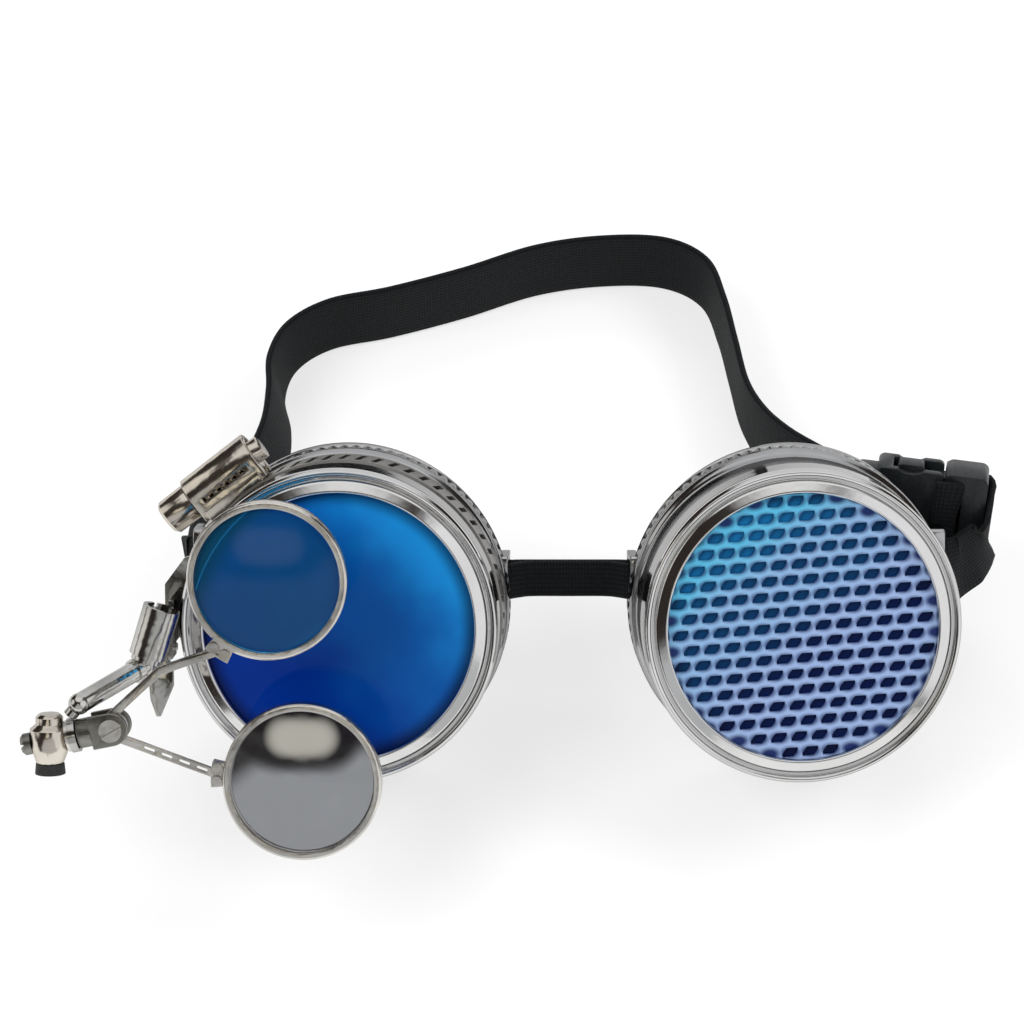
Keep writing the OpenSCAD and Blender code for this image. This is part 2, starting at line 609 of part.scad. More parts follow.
// Worm screw: threaded body, slotted head outside the saddle, stub at the other end
head_r = 3.5;
head_l = 6;
module clamp_screw() {
  thread_turns = 7;
  color("burlywood") at_saddle() translate([worm_x, 0, 0]) difference() {
    union() {
      cylinder(r = worm_r, h = saddle_l, center = true);
      translate([0, 0, saddle_l / 2 - past]) cylinder(r = worm_r * 0.7, h = 1.8 + past, $fn = small_fn);
      translate([0, 0, -saddle_l / 2 - head_l - gap]) {
        translate([0, 0, 0.6]) cylinder(r = head_r, h = head_l - 0.6);
        cylinder(r1 = head_r - 0.6, r2 = head_r, h = 0.6);
        cylinder(r = worm_r * 0.8, h = head_l + 2);
      }
    }
    translate([0, 0, -saddle_l / 2 - head_l - gap]) cube([2.5 * head_r, 1.1, 2.6], center = true);
    for (i = [0 : thread_turns - 1])
      translate([0, 0, (i - (thread_turns - 1) / 2) * (saddle_l - 2) / thread_turns])
        rotate_extrude() translate([worm_r, 0]) circle(r = 0.55, $fn = 4);
  }
}

// Clip of the loupes: a foot on the clamp's band, a neck past the lens ring, a rolled sleeve
foot_t = 1.2;
foot_r = band_r + seat;
neck_x = ring_r + 0.6;
neck_t = 1;
sleeve_r = journal_r + run + sleeve_wall;
sleeve_at = [neck_x + sleeve_r - 0.3, -4.4, -0.2];
sleeve_tilt = 17;
jaw_pin_r = 0.7;
jaw_pin_at = [neck_x + 3.3, sleeve_at.y + sleeve_r + 2.1, -4];
jaw_w = 4.2;
ear_t = 0.7;
module at_sleeve() {
  at_left_cup() translate(sleeve_at) rotate([0, -sleeve_tilt, 0]) children();
}
module loupe_clip() {
  foot_l = 7.6;
  foot_from_b = band_b + 0.6;
  foot_low_z = -6;
  foot_h = 23;
  ear_from_b = sleeve_at.y + 1;
  color("gainsboro") {
    at_left_cup() difference() {
      union() {
        // Foot rolled to the band
        intersection() {
          difference() {
            disc(foot_r + foot_t, foot_from_b, foot_from_b + foot_l);
            disc(foot_r, band_b - past, band_b + band_w + past);
          }
          translate([0, 0, foot_low_z]) cube([2 * ring_r, 2 * ring_depth + band_w, foot_h]);
        }
        // Front plate between the foot and the neck
        translate([0, foot_from_b + neck_t, 0]) rotate([90, 0, 0]) linear_extrude(neck_t) difference() {
          polygon([[foot_r - 3, 12], [foot_r, 11], [neck_x + 3.4, 6], [neck_x + 3.4, -2], [foot_r, -5], [foot_r - 2, -5]]);
          circle(foot_r);
        }
        // Neck beside the lens ring
        translate([neck_x, sleeve_at.y, -3]) cube([neck_t, foot_from_b + neck_t - sleeve_at.y, 8]);
        // Ears of the jaw's pin
        for (x = [-jaw_w / 2 - ear_t - gap, jaw_w / 2 + gap])
          translate([jaw_pin_at.x + x, ear_from_b, jaw_pin_at.z - 1.6]) cube([ear_t, jaw_pin_at.y + 1.6 - ear_from_b, 3.2]);
      }
      translate(jaw_pin_at) rotate([0, 90, 0]) cylinder(r = jaw_pin_r, h = 4 * jaw_w, center = true, $fn = small_fn);
      translate(sleeve_at) rotate([0, -sleeve_tilt, 0])
        cylinder(r = sleeve_r - sleeve_wall / 2, h = 3 * sleeve_h, center = true);
      disc(ring_r + 0.4, -past, shoulder_b + gap);
    }
    at_sleeve() difference() {
      cylinder(r = sleeve_r, h = sleeve_h, center = true);
      cylinder(r = journal_r + run, h = 2 * sleeve_h, center = true);
      // Slit where the rolled sheet ends
      rotate([0, 0, 60]) translate([sleeve_r, 0, 0]) cube([3, 0.8, 2 * sleeve_h], center = true);
    }
  }
}
// Pointed spring jaw on its pin
module clip_jaw() {
  jaw_l = 13;
  jaw_t = 0.9;
  eye_out_r = jaw_pin_r + run + 0.9;
  color("gainsboro") at_left_cup() translate(jaw_pin_at) difference() {
    union() {
      rotate([0, 90, 0]) cylinder(r = eye_out_r, h = jaw_w, center = true, $fn = small_fn);
      translate([0, jaw_t - eye_out_r, 0]) rotate([90, 0, 0]) linear_extrude(jaw_t)
        polygon([[-jaw_w / 2, 0], [-jaw_w / 2, -2.2], [-jaw_w / 2 - 0.8, -3.4], [-jaw_w / 2 - 0.8, -0.55 * jaw_l],
          [-0.1 * jaw_w, -jaw_l], [0.1 * jaw_w, -jaw_l], [jaw_w / 2 - 0.6, -0.75 * jaw_l], [jaw_w / 2, -2.2], [jaw_w / 2, 0]]);
    }
    rotate([0, 90, 0]) cylinder(r = jaw_pin_r + run, h = 2 * jaw_w, center = true, $fn = small_fn);
  }
}
module clip_jaw_pin() {
  pin_l = jaw_w + 2 * ear_t + 2 * gap + 0.8;
  color("gray") at_left_cup() translate(jaw_pin_at) rotate([0, 90, 0])
    cylinder(r = jaw_pin_r, h = pin_l, center = true, $fn = small_fn);
}

// Pivot of the arms, on a fork that turns on a bolt through the post's eye
arm_eye_r = 2.6;
cheek_t = 1.2;
arm_washer_t = 0.5;
layer = 0.1;
pivot_at = [39.5, -16.1, -15.6];
fork_tilt = 12;
// Layers of the pivot from the front to the back, measured from its middle
upper_arm_y = -(arm_washer_t / 2 + layer + arm_t / 2);
lower_arm_y = -upper_arm_y;
cheek_y = arm_washer_t / 2 + 2 * layer + arm_t;
// Places along the fork's axis: body, post's eye, washer, swivel block, bolt head
body_x = [arm_eye_r + gap, 6.5];
post_eye_x = [body_x[1] + layer, 8];
bolt_washer_t = 0.5;
block_r = 3.2;
block_x = post_eye_x[1] + bolt_washer_t + 2 * layer + block_r;
bolt_end_x = block_x + block_r + 2;
bolt_r = 1.3;
bolt_head_r = 2;
body_r = 2.7;
lock_r = 1;
module at_pivot() {
  at_left_cup() translate(pivot_at) children();
}
module at_fork() {
  at_pivot() rotate([0, fork_tilt, 0]) children();
}
module pivot_disc(r, from_y, to_y, fn) {
  translate([0, from_y, 0]) rotate([-90, 0, 0]) cylinder(r = r, h = to_y - from_y, $fn = fn);
}
module along_fork(r, from_x, to_x, fn) {
  translate([from_x, 0, 0]) rotate([0, 90, 0]) cylinder(r = r, h = to_x - from_x, $fn = fn);
}
module pivot_fork() {
  cheek_r = 3;
  color("gray") at_fork() difference() {
    union() {
      for (y = [-cheek_y - cheek_t, cheek_y]) {
        pivot_disc(cheek_r, y, y + cheek_t, small_fn);
        translate([0, y, -cheek_r]) cube([body_x[0] + 1, cheek_t, 2 * cheek_r]);
      }
      along_fork(body_r, body_x[0], body_x[1], small_fn);
    }
    pivot_disc(pivot_r, -2 * cheek_y - 2 * cheek_t, 2 * cheek_y + 2 * cheek_t, small_fn);
    along_fork(bolt_r, 0, 2 * block_x, small_fn);
  }
}
// Bolt: a shank through the post's eye and the block, with a slotted head outside
module fork_bolt() {
  chamfer = 0.5;
  head_x = block_x + block_r + layer;
  color("gray") at_fork() difference() {
    union() {
      along_fork(bolt_r, body_x[0] + 0.4, bolt_end_x - chamfer, small_fn);
      along_fork(bolt_head_r, head_x, bolt_end_x - chamfer, small_fn);
      translate([bolt_end_x - chamfer, 0, 0]) rotate([0, 90, 0])
        cylinder(r1 = bolt_head_r, r2 = bolt_head_r - chamfer, h = chamfer, $fn = small_fn);
    }
    translate([bolt_end_x, 0, 0]) cube([1.4, 3 * bolt_head_r, 0.6], center = true);
  }
}
module fork_bolt_washer() {
  from_x = post_eye_x[1] + layer;
  color("lightgray") at_fork() difference() {
    along_fork(2.9, from_x, from_x + bolt_washer_t, small_fn);
    along_fork(bolt_r + run, 0, 2 * block_x, small_fn);
  }
}
// Block: a turned barrel across the bolt, with a flat for the bolt's washer and head
block_low_z = -4.2;
module at_block() {
  at_fork() translate([block_x, 0, 0]) rotate([0, -fork_tilt, 0]) children();
}
module swivel_block() {
  shoulder_r = 2.5;
  color("gray") at_block() difference() {
    intersection() {
      rotate_extrude() polygon([[0, block_low_z], [2.5, block_low_z], [3.6, -1.5], [3.6, 2], [shoulder_r, 3],
        [shoulder_r, 4.2], [shoulder_r - 0.6, 4.8], [0, 4.8]]);
      rotate([0, fork_tilt, 0]) cube([2 * block_r, 4 * block_r, 4 * block_r], center = true);
    }
    rotate([0, fork_tilt, 0]) along_fork(bolt_r + run, -block_x, block_x, small_fn);
    translate([0, 0, 2 * block_low_z]) cylinder(r = lock_r + run, h = -2 * block_low_z, $fn = small_fn);
  }
}
// Lock screw: a short pin under the bolt, with a round grip below the block
module fork_lock_screw() {
  grip_h = 2;
  color("dimgray") at_block() {
    translate([0, 0, block_low_z - layer - 0.5]) cylinder(r = lock_r, h = -block_low_z - bolt_r + 0.3, $fn = small_fn);
    translate([0, 0, block_low_z - layer - grip_h]) cylinder(r1 = 2.8, r2 = 2.6, h = grip_h, $fn = small_fn);
  }
}
// Post: a journal in the sleeve, a collar, a bent rod, a knuckle and an eye round the bolt
function fork_point(v) = pivot_at + [v.x * cos(fork_tilt) + v.z * sin(fork_tilt), v.y,
  v.z * cos(fork_tilt) - v.x * sin(fork_tilt)];
function sleeve_point(v) = sleeve_at + [v.x * cos(sleeve_tilt) - v.z * sin(sleeve_tilt), v.y,
  v.z * cos(sleeve_tilt) + v.x * sin(sleeve_tilt)];
module loupe_post() {
  eye_mid = (post_eye_x[0] + post_eye_x[1]) / 2;
  elbow_drop = 1.9;
  elbow = sleeve_point([0, 0, -sleeve_h / 2 - elbow_drop]);
  knuckle = fork_point([5.1, 0, 5.4]);
  run_dir = unit(knuckle - elbow);
  eye_size = 3.2;
  color("lightgray") {
    at_sleeve() {
      translate([0, 0, -sleeve_h / 2]) cylinder(r = journal_r, h = sleeve_h - 0.6);
      translate([0, 0, -sleeve_h / 2 - 1]) cylinder(r = journal_r + 0.3, h = 1 - layer);
      translate([0, 0, -sleeve_h / 2 - elbow_drop]) cylinder(r = post_r, h = elbow_drop, $fn = small_fn);
    }
    at_left_cup() difference() {
      union() {
        translate(elbow) sphere(r = post_r + 0.2, $fn = small_fn);
        rod(elbow, knuckle, post_r);
        rod(elbow + 1.6 * run_dir, elbow + 2.8 * run_dir, post_r + 0.4);
        translate(knuckle) sphere(r = post_r + 0.1, $fn = small_fn);
        rod(knuckle, fork_point([eye_mid, 0, 3.6]), 1.3);
        translate(pivot_at) rotate([0, fork_tilt, 0]) along_fork(eye_size, post_eye_x[0], post_eye_x[1], small_fn);
      }
      translate(pivot_at) rotate([0, fork_tilt, 0]) {
        along_fork(bolt_r + run, 0, 2 * block_x, small_fn);
        along_fork(body_r + gap, 0, post_eye_x[0], small_fn);
      }
    }
  }
}
module pivot_screw() {
  screw_head_r = 2.1;
  screw_head_t = 1;
  front = -cheek_y - cheek_t;
  color("silver") at_pivot() difference() {
    union() {
      pivot_disc(pivot_r, front - seat, cheek_y + cheek_t + 2, small_fn);
      pivot_disc(screw_head_r, front - screw_head_t, front, small_fn);
    }
    translate([0, front - screw_head_t, 0]) rotate([0, 30, 0]) cube([3 * screw_head_r, 1.2, 0.6], center = true);
  }
}
module pivot_nut() {
  nut_t = 1.6;
  color("silver") at_pivot() difference() {
    pivot_disc(2.3, cheek_y + cheek_t, cheek_y + cheek_t + nut_t, 6);
    pivot_disc(pivot_r, 0, 2 * cheek_y + 2 * cheek_t + 2 * nut_t, small_fn);
  }
}
module arm_washer() {
  color("white") at_pivot() difference() {
    pivot_disc(arm_eye_r - 0.2, -arm_washer_t / 2, arm_washer_t / 2, small_fn);
    pivot_disc(pivot_r + run, -past, past, small_fn);
  }
}

// Arms: an eye on the pivot screw and a narrow strip to a curved lug behind the loupe's rim
lug_in_r = loupe_r - 0.6;
lug_out_r = loupe_r + 2.2;
lug_mid_r = loupe_r + 1.1;
lug_half = 8.5;
lug_turn = -12;
rivet_r = 0.6;
rivet_a = [-4.4, 4.4];
ear_plate_t = 0.9;
module at_upper_loupe() {
  at_pivot() rotate([0, 180 + upper_angle, 0]) translate([upper_reach, upper_arm_y, 0]) children();
}
module at_lower_loupe() {
  at_pivot() rotate([0, 180 - lower_angle, 0]) translate([lower_reach, lower_arm_y, 0]) children();
}
function lug_spot(r, a) = [r * cos(180 + lug_turn + a), r * sin(180 + lug_turn + a)];
// Outline of the lug: a sector between two radii
module lug_outline() {
  reach = 2 * lug_out_r;
  intersection() {
    difference() {
      circle(lug_out_r);
      circle(lug_in_r);
    }
    polygon([[0, 0], lug_spot(reach, -lug_half), lug_spot(reach, 0), lug_spot(reach, lug_half)]);
  }
}
module lug_holes() {
  for (a = rivet_a) translate(lug_spot(lug_mid_r, a)) circle(rivet_r, $fn = small_fn);
}
module loupe_arm(reach, side, bend, slots) {
  start = [-reach, side * (arm_eye_r - arm_w / 2)];
  end = lug_spot(lug_mid_r, 0);
  along = (end - start) / norm(end - start);
  aside = [-along.y, along.x] * arm_w / 2;
  knee = start + along * bend[0] + [-along.y, along.x] * bend[1];
  rotate([90, 0, 0]) translate([0, 0, -arm_t / 2]) difference() {
    union() {
      translate([-reach, 0, 0]) cylinder(r = arm_eye_r, h = arm_t, $fn = small_fn);
      linear_extrude(arm_t) polygon([start + aside, knee + aside, end + aside, end - aside, knee - aside, start - aside]);
      linear_extrude(arm_t) lug_outline();
    }
    translate([-reach, 0, -past]) cylinder(r = pivot_r + run, h = arm_t + 2 * past, $fn = small_fn);
    translate([0, 0, -past]) linear_extrude(arm_t + 2 * past) lug_holes();
    for (i = [1 : slots]) translate(start + along * (4 + i * 3.4)) rotate(atan2(along.y, along.x))
      cube([2, arm_w / 2.4, 3 * arm_t], center = true);
  }
}
// Rims: a rolled ring with a groove for the lens and an ear on the arm's lug
module loupe_rim(ear_side) {
  round = 0.4;
  half = rim_depth / 2;
  lip = 0.5;
  in_r = loupe_r - rim_band;
  difference() {
    union() {
      turned_piece([[in_r, -half], [loupe_r - round, -half], [loupe_r, round - half], [loupe_r, half - round],
        [loupe_r - round, half], [in_r, half], [in_r, loupe_edge_t / 2 + seat],
        [in_r + lip, loupe_edge_t / 2 + seat], [in_r + lip, -loupe_edge_t / 2 - seat], [in_r, -loupe_edge_t / 2 - seat]]);
      translate([0, ear_side * (arm_t + ear_plate_t) / 2, 0]) rotate([90, 0, 0])
        linear_extrude(ear_plate_t, center = true) lug_outline();
    }
    // Seat of the arm's lug
    rotate([90, 0, 0]) linear_extrude(arm_t, center = true) lug_outline();
    rotate([90, 0, 0]) linear_extrude(2 * rim_depth, center = true) lug_holes();
  }
}
module loupe_lens() {
  edge_r = loupe_r - rim_band + 0.5 - 2 * seat;
  steps = 8;
  // Height of the bulge over the edge at part k of the radius
  function bulge(k) = loupe_edge_t / 2 + loupe_bulge * (1 - k * k);
  turned_piece(concat([for (i = [0 : steps]) [edge_r * i / steps, bulge(i / steps)]],
    [for (i = [steps : -1 : 0]) [edge_r * i / steps, -bulge(i / steps)]]));
}
module lug_rivets(ear_side) {
  shank = arm_t + ear_plate_t;
  rivet_head = 0.45;
  for (a = rivet_a) translate([0, ear_side * ear_plate_t / 2, 0]) rotate([90, 0, 0]) translate(lug_spot(lug_mid_r, a)) {
    cylinder(r = rivet_r, h = shank + rivet_head, center = true, $fn = small_fn);
    for (z = [-1, 1]) translate([0, 0, z * (shank + rivet_head) / 2])
      cylinder(r = rivet_r + 0.4, h = rivet_head, center = true, $fn = small_fn);
  }
}
module upper_arm() { color("silver") at_upper_loupe() loupe_arm(upper_reach, -1, [13.5, -2.6], 0); }
module upper_loupe_rim() { color("silver") at_upper_loupe() loupe_rim(-1); }
module upper_loupe_lens() { color("lightblue", 0.4) at_upper_loupe() loupe_lens(); }
module upper_lug_rivets() { color("gray") at_upper_loupe() lug_rivets(-1); }
module lower_arm() { color("silver") at_lower_loupe() loupe_arm(lower_reach, 1, [10, 0], 4); }
module lower_loupe_rim() { color("silver") at_lower_loupe() loupe_rim(1); }
module lower_loupe_lens() { color("lightgray", 0.6) at_lower_loupe() loupe_lens(); }
module lower_lug_rivets() { color("gray") at_lower_loupe() lug_rivets(1); }

left_cup();
right_cup();
left_rim_trim();
right_rim_trim();
left_lens_ring();
right_lens_ring();
left_lens();
right_lens();
right_grille();
left_lens_washer();
right_lens_washer();
nose_strap();
head_strap();
buckle_strap();
buckle_socket();
buckle_plug();
upper_buckle_prong();
lower_buckle_prong();
clamp_band();
clamp_saddle();
clamp_screw();
loupe_clip();
clip_jaw();
clip_jaw_pin();
loupe_post();
pivot_fork();
fork_bolt();
fork_bolt_washer();
swivel_block();
fork_lock_screw();
pivot_screw();
pivot_nut();
arm_washer();
upper_arm();
upper_loupe_rim();
upper_loupe_lens();
upper_lug_rivets();
lower_arm();
lower_loupe_rim();
lower_loupe_lens();
lower_lug_rivets();
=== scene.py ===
import bpy, bmesh, math
import numpy as np
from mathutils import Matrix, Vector


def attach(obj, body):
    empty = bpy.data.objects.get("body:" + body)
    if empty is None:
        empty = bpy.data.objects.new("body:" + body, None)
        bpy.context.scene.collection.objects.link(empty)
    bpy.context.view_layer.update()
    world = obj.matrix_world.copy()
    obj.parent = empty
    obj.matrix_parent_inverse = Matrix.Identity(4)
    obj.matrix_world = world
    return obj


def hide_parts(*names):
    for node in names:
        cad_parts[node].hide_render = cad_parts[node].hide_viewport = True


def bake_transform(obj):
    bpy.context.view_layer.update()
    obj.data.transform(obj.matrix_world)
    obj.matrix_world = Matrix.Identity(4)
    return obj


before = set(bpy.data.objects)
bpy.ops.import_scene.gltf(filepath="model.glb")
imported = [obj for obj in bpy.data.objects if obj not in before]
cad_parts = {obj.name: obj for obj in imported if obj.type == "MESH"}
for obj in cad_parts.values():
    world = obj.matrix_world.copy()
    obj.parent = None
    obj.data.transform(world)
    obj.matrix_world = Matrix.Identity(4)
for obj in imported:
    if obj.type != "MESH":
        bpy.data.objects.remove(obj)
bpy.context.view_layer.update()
scene = bpy.context.scene

# Camera: a short telephoto that looks down on the goggles from the front, at the
# height from which the whole strap shows behind the two cups.
camera_data = bpy.data.cameras.new("camera")
camera_data.lens = 133.38
camera_data.sensor_width = 36.0
camera = bpy.data.objects.new("camera", camera_data)
camera.location = (-0.00245, -0.42197, 0.62933)
camera.rotation_euler = (math.radians(35), 0, 0)
scene.collection.objects.link(camera)
scene.camera = camera

# Table: a plain white sheet, which shows as white and keeps the soft shadow of
# the object. The lamps and the room are a plain soft-box studio.
scene.view_settings.view_transform = "Standard"


def node_tree(name):
    """A new material, with its nodes, its links and its surface node."""
    material = bpy.data.materials.new(name)
    material.use_nodes = True
    nodes = material.node_tree.nodes
    return material, nodes, material.node_tree.links, nodes["Principled BSDF"]


# Half the sheet's side and its height in metres, and the share of its own light where the camera or plating sees it
TABLE_HALF, TABLE_Z, TABLE_GLOW = 3, -0.0002, 0.62
sheet_material, nodes, links, surface = node_tree("white_table")
surface.inputs["Base Color"].default_value = (0.9, 0.9, 0.9, 1)
surface.inputs["Roughness"].default_value = 0.9
surface.inputs["Specular IOR Level"].default_value = 0.1
glow = nodes.new("ShaderNodeEmission")
glow.inputs["Color"].default_value = (1, 1, 1, 1)
glow.inputs["Strength"].default_value = 1.0
path = nodes.new("ShaderNodeLightPath")
seen = nodes.new("ShaderNodeMath")
seen.operation = "MAXIMUM"
links.new(path.outputs["Is Camera Ray"], seen.inputs[0])
links.new(path.outputs["Is Transmission Ray"], seen.inputs[1])
seen_too = nodes.new("ShaderNodeMath")
seen_too.operation = "MAXIMUM"
links.new(seen.outputs[0], seen_too.inputs[0])
links.new(path.outputs["Is Glossy Ray"], seen_too.inputs[1])
share = nodes.new("ShaderNodeMath")
share.operation = "MULTIPLY"
share.inputs[1].default_value = TABLE_GLOW
links.new(seen_too.outputs[0], share.inputs[0])
blend = nodes.new("ShaderNodeMixShader")
links.new(share.outputs[0], blend.inputs["Fac"])
links.new(surface.outputs[0], blend.inputs[1])
links.new(glow.outputs[0], blend.inputs[2])
links.new(blend.outputs[0], nodes["Material Output"].inputs["Surface"])
table_mesh = bpy.data.meshes.new("table")
corners = [(i * TABLE_HALF, j * TABLE_HALF, TABLE_Z) for i, j in ((-1, -1), (1, -1), (1, 1), (-1, 1))]
table_mesh.from_pydata(corners, [], [(0, 1, 2, 3)])
table = bpy.data.objects.new("table", table_mesh)
table_mesh.materials.append(sheet_material)
scene.collection.objects.link(table)

world = bpy.data.worlds.new("studio")
scene.world = world
world.use_nodes = True
nodes, links = world.node_tree.nodes, world.node_tree.links
nodes.clear()
output = nodes.new("ShaderNodeOutputWorld")
room = nodes.new("ShaderNodeTexCoord")
# The room as bright plating mirrors it: each soft box is a round patch of light in a dim brown room.
# Direction towards it, its radius and half the width of its soft edge in degrees, and its colour. The last six
# are a warm lamp in a dark frame, which the lower loupe mirrors.
DIM_ROOM, LAMP_SHADE, GAP_SHADE = (0.035, 0.028, 0.024), (1.0, 0.95, 0.8), (0.02, 0.015, 0.012)
SOFT_BOXES = (
    ((0.0, 0.35, 0.94), 35, 5, (1.0, 1.0, 1.0)),
    ((0.75, -0.4, 0.5), 34, 5, (1.0, 1.0, 1.02)),
    ((-0.9, 0.0, 0.4), 20, 4, (0.95, 0.93, 0.9)),
    ((0.1, 0.9, 0.45), 30, 5, (0.8, 0.81, 0.83)),
    ((0.0, -0.99, 0.14), 36, 3.5, (0.58, 0.59, 0.6)),
    ((-0.28, -0.665, 0.69), 9, 3, GAP_SHADE),
    ((-0.158, -0.684, 0.712), 9, 3, GAP_SHADE),
    ((-0.03, -0.69, 0.72), 9, 3, GAP_SHADE),
    ((-0.24, -0.67, 0.7), 4, 3, LAMP_SHADE),
    ((-0.158, -0.684, 0.712), 4.5, 3, LAMP_SHADE),
    ((-0.07, -0.69, 0.72), 4, 3, LAMP_SHADE))
glow = None
for toward, reach, soft, shade in SOFT_BOXES:
    aim = nodes.new("ShaderNodeVectorMath")
    aim.operation = "DOT_PRODUCT"
    aim.inputs[1].default_value = Vector(toward).normalized()
    links.new(room.outputs["Generated"], aim.inputs[0])
    patch = nodes.new("ShaderNodeMapRange")
    patch.interpolation_type = "SMOOTHSTEP"
    patch.inputs["From Min"].default_value = math.cos(math.radians(reach + soft))
    patch.inputs["From Max"].default_value = math.cos(math.radians(reach - soft))
    links.new(aim.outputs["Value"], patch.inputs["Value"])
    tone = nodes.new("ShaderNodeMix")
    tone.data_type = "RGBA"
    links.new(patch.outputs["Result"], tone.inputs["Factor"])
    tone.inputs["A"].default_value = DIM_ROOM + (1,)
    if glow is not None:
        links.new(glow, tone.inputs["A"])
    tone.inputs["B"].default_value = shade + (1,)
    glow = tone.outputs["Result"]
mirror_room = nodes.new("ShaderNodeBackground")
links.new(glow, mirror_room.inputs["Color"])
soft_room = nodes.new("ShaderNodeBackground")
soft_room.inputs["Color"].default_value = (1, 1, 1, 1)
soft_room.inputs["Strength"].default_value = 0.55
white_room = nodes.new("ShaderNodeBackground")
white_room.inputs["Color"].default_value = (1, 1, 1, 1)
path = nodes.new("ShaderNodeLightPath")
mirrored = nodes.new("ShaderNodeMixShader")
links.new(path.outputs["Is Glossy Ray"], mirrored.inputs["Fac"])
links.new(soft_room.outputs[0], mirrored.inputs[1])
links.new(mirror_room.outputs[0], mirrored.inputs[2])
direct = nodes.new("ShaderNodeMath")
direct.operation = "MAXIMUM"
links.new(path.outputs["Is Camera Ray"], direct.inputs[0])
links.new(path.outputs["Is Transmission Ray"], direct.inputs[1])
shown = nodes.new("ShaderNodeMixShader")
links.new(direct.outputs[0], shown.inputs["Fac"])
links.new(mirrored.outputs[0], shown.inputs[1])
links.new(white_room.outputs[0], shown.inputs[2])
links.new(shown.outputs[0], output.inputs["Surface"])

# Name, place and width in metres, and power in watts. Plating mirrors the room's soft boxes instead of the lamps.
LAMPS = (
    ("box_left", (-0.75, -0.25, 1.0), 0.7, 9),
    ("box_right", (0.8, 0.1, 0.9), 0.5, 6),
    ("box_back", (0.1, 0.9, 0.8), 0.6, 5))
for name, place, size, power in LAMPS:
    lamp_data = bpy.data.lights.new(name, "AREA")
    lamp_data.size = size
    lamp_data.energy = power
    lamp = bpy.data.objects.new(name, lamp_data)
    lamp.location = place
    lamp.rotation_euler = (Vector((0, 0, 0.03)) - Vector(place)).to_track_quat("-Z", "Y").to_euler()
    lamp.visible_glossy = False
    scene.collection.objects.link(lamp)

# Cups: deep plastic shells with a bright metal coating. Each has a smooth barrel,
# a collar, a band of fine grip ribs and a rolled rear rim, with slotted strap tabs
# moulded on at the temple and the nose.

# Lean and toe-out of the cups, half the distance between their middles, and their place on the table
LEAN, TOE, HALF_PITCH = math.radians(46), math.radians(3), 43.0
SHIFT = np.array([8.45, -38.0, 43.6503])
# Strap tabs: rise of their middle, depth of their bars, distance of the outer and the inner one; widths of the straps
TAB_RISE, BAR_B, TEMPLE_X, NOSE_X = 3.5, 33.5, 29.5, 29.2
STRAP_W, NOSE_W = 16.5, 7.0


def from_cup(side, points):
    """Points of a cup's own frame (outward, back, up, in mm) as points of the table's frame in metres:
    a turn by the toe-out angle, a step sideways by half the pitch, a lean backward, and a shift."""
    p = np.asarray(points, float)
    x = side * (HALF_PITCH + p[..., 0] * math.cos(TOE) - p[..., 1] * math.sin(TOE))
    y = p[..., 0] * math.sin(TOE) + p[..., 1] * math.cos(TOE)
    z = p[..., 2]
    leant = [x, y * math.cos(LEAN) + z * math.sin(LEAN), z * math.cos(LEAN) - y * math.sin(LEAN)]
    return (np.stack(leant, -1) + SHIFT) / 1000.0


def plating(name, colour, roughness, pit, speck, edge=0.6):
    """Bright metal plating: one noise makes its colour darker by up to the share speck, and its roughness up to
    1.9 times as high; a finer noise gives its faint waviness, pit. Edge is the shade of its gloss at a slant."""
    material, nodes, links, surface = node_tree(name)
    surface.inputs["Metallic"].default_value = 1.0
    surface.inputs["Specular Tint"].default_value = (edge, edge, edge, 1)
    place = nodes.new("ShaderNodeTexCoord")
    clouds = nodes.new("ShaderNodeTexNoise")
    clouds.inputs["Scale"].default_value = 90.0
    clouds.inputs["Detail"].default_value = 3.0
    links.new(place.outputs["Object"], clouds.inputs["Vector"])
    tint = nodes.new("ShaderNodeValToRGB")
    tint.color_ramp.elements[0].position = 0.3
    tint.color_ramp.elements[0].color = tuple(c * (1 - speck) for c in colour) + (1,)
    tint.color_ramp.elements[1].position = 0.7
    tint.color_ramp.elements[1].color = tuple(colour) + (1,)
    links.new(clouds.outputs["Fac"], tint.inputs["Fac"])
    links.new(tint.outputs["Color"], surface.inputs["Base Color"])
    dull = nodes.new("ShaderNodeMapRange")
    dull.inputs["To Min"].default_value = roughness
    dull.inputs["To Max"].default_value = roughness * 1.9
    links.new(clouds.outputs["Fac"], dull.inputs["Value"])
    links.new(dull.outputs["Result"], surface.inputs["Roughness"])
    ripple = nodes.new("ShaderNodeTexNoise")
    ripple.inputs["Scale"].default_value = 260.0
    links.new(place.outputs["Object"], ripple.inputs["Vector"])
    bump = nodes.new("ShaderNodeBump")
    bump.inputs["Strength"].default_value = pit
    bump.inputs["Distance"].default_value = 0.0004
    links.new(ripple.outputs["Fac"], bump.inputs["Height"])
    links.new(bump.outputs["Normal"], surface.inputs["Normal"])
    return material


def dress(name, material):
    """Gives a node's own mesh its finish."""
    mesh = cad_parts[name].data
    mesh.materials.clear()
    mesh.materials.append(material)


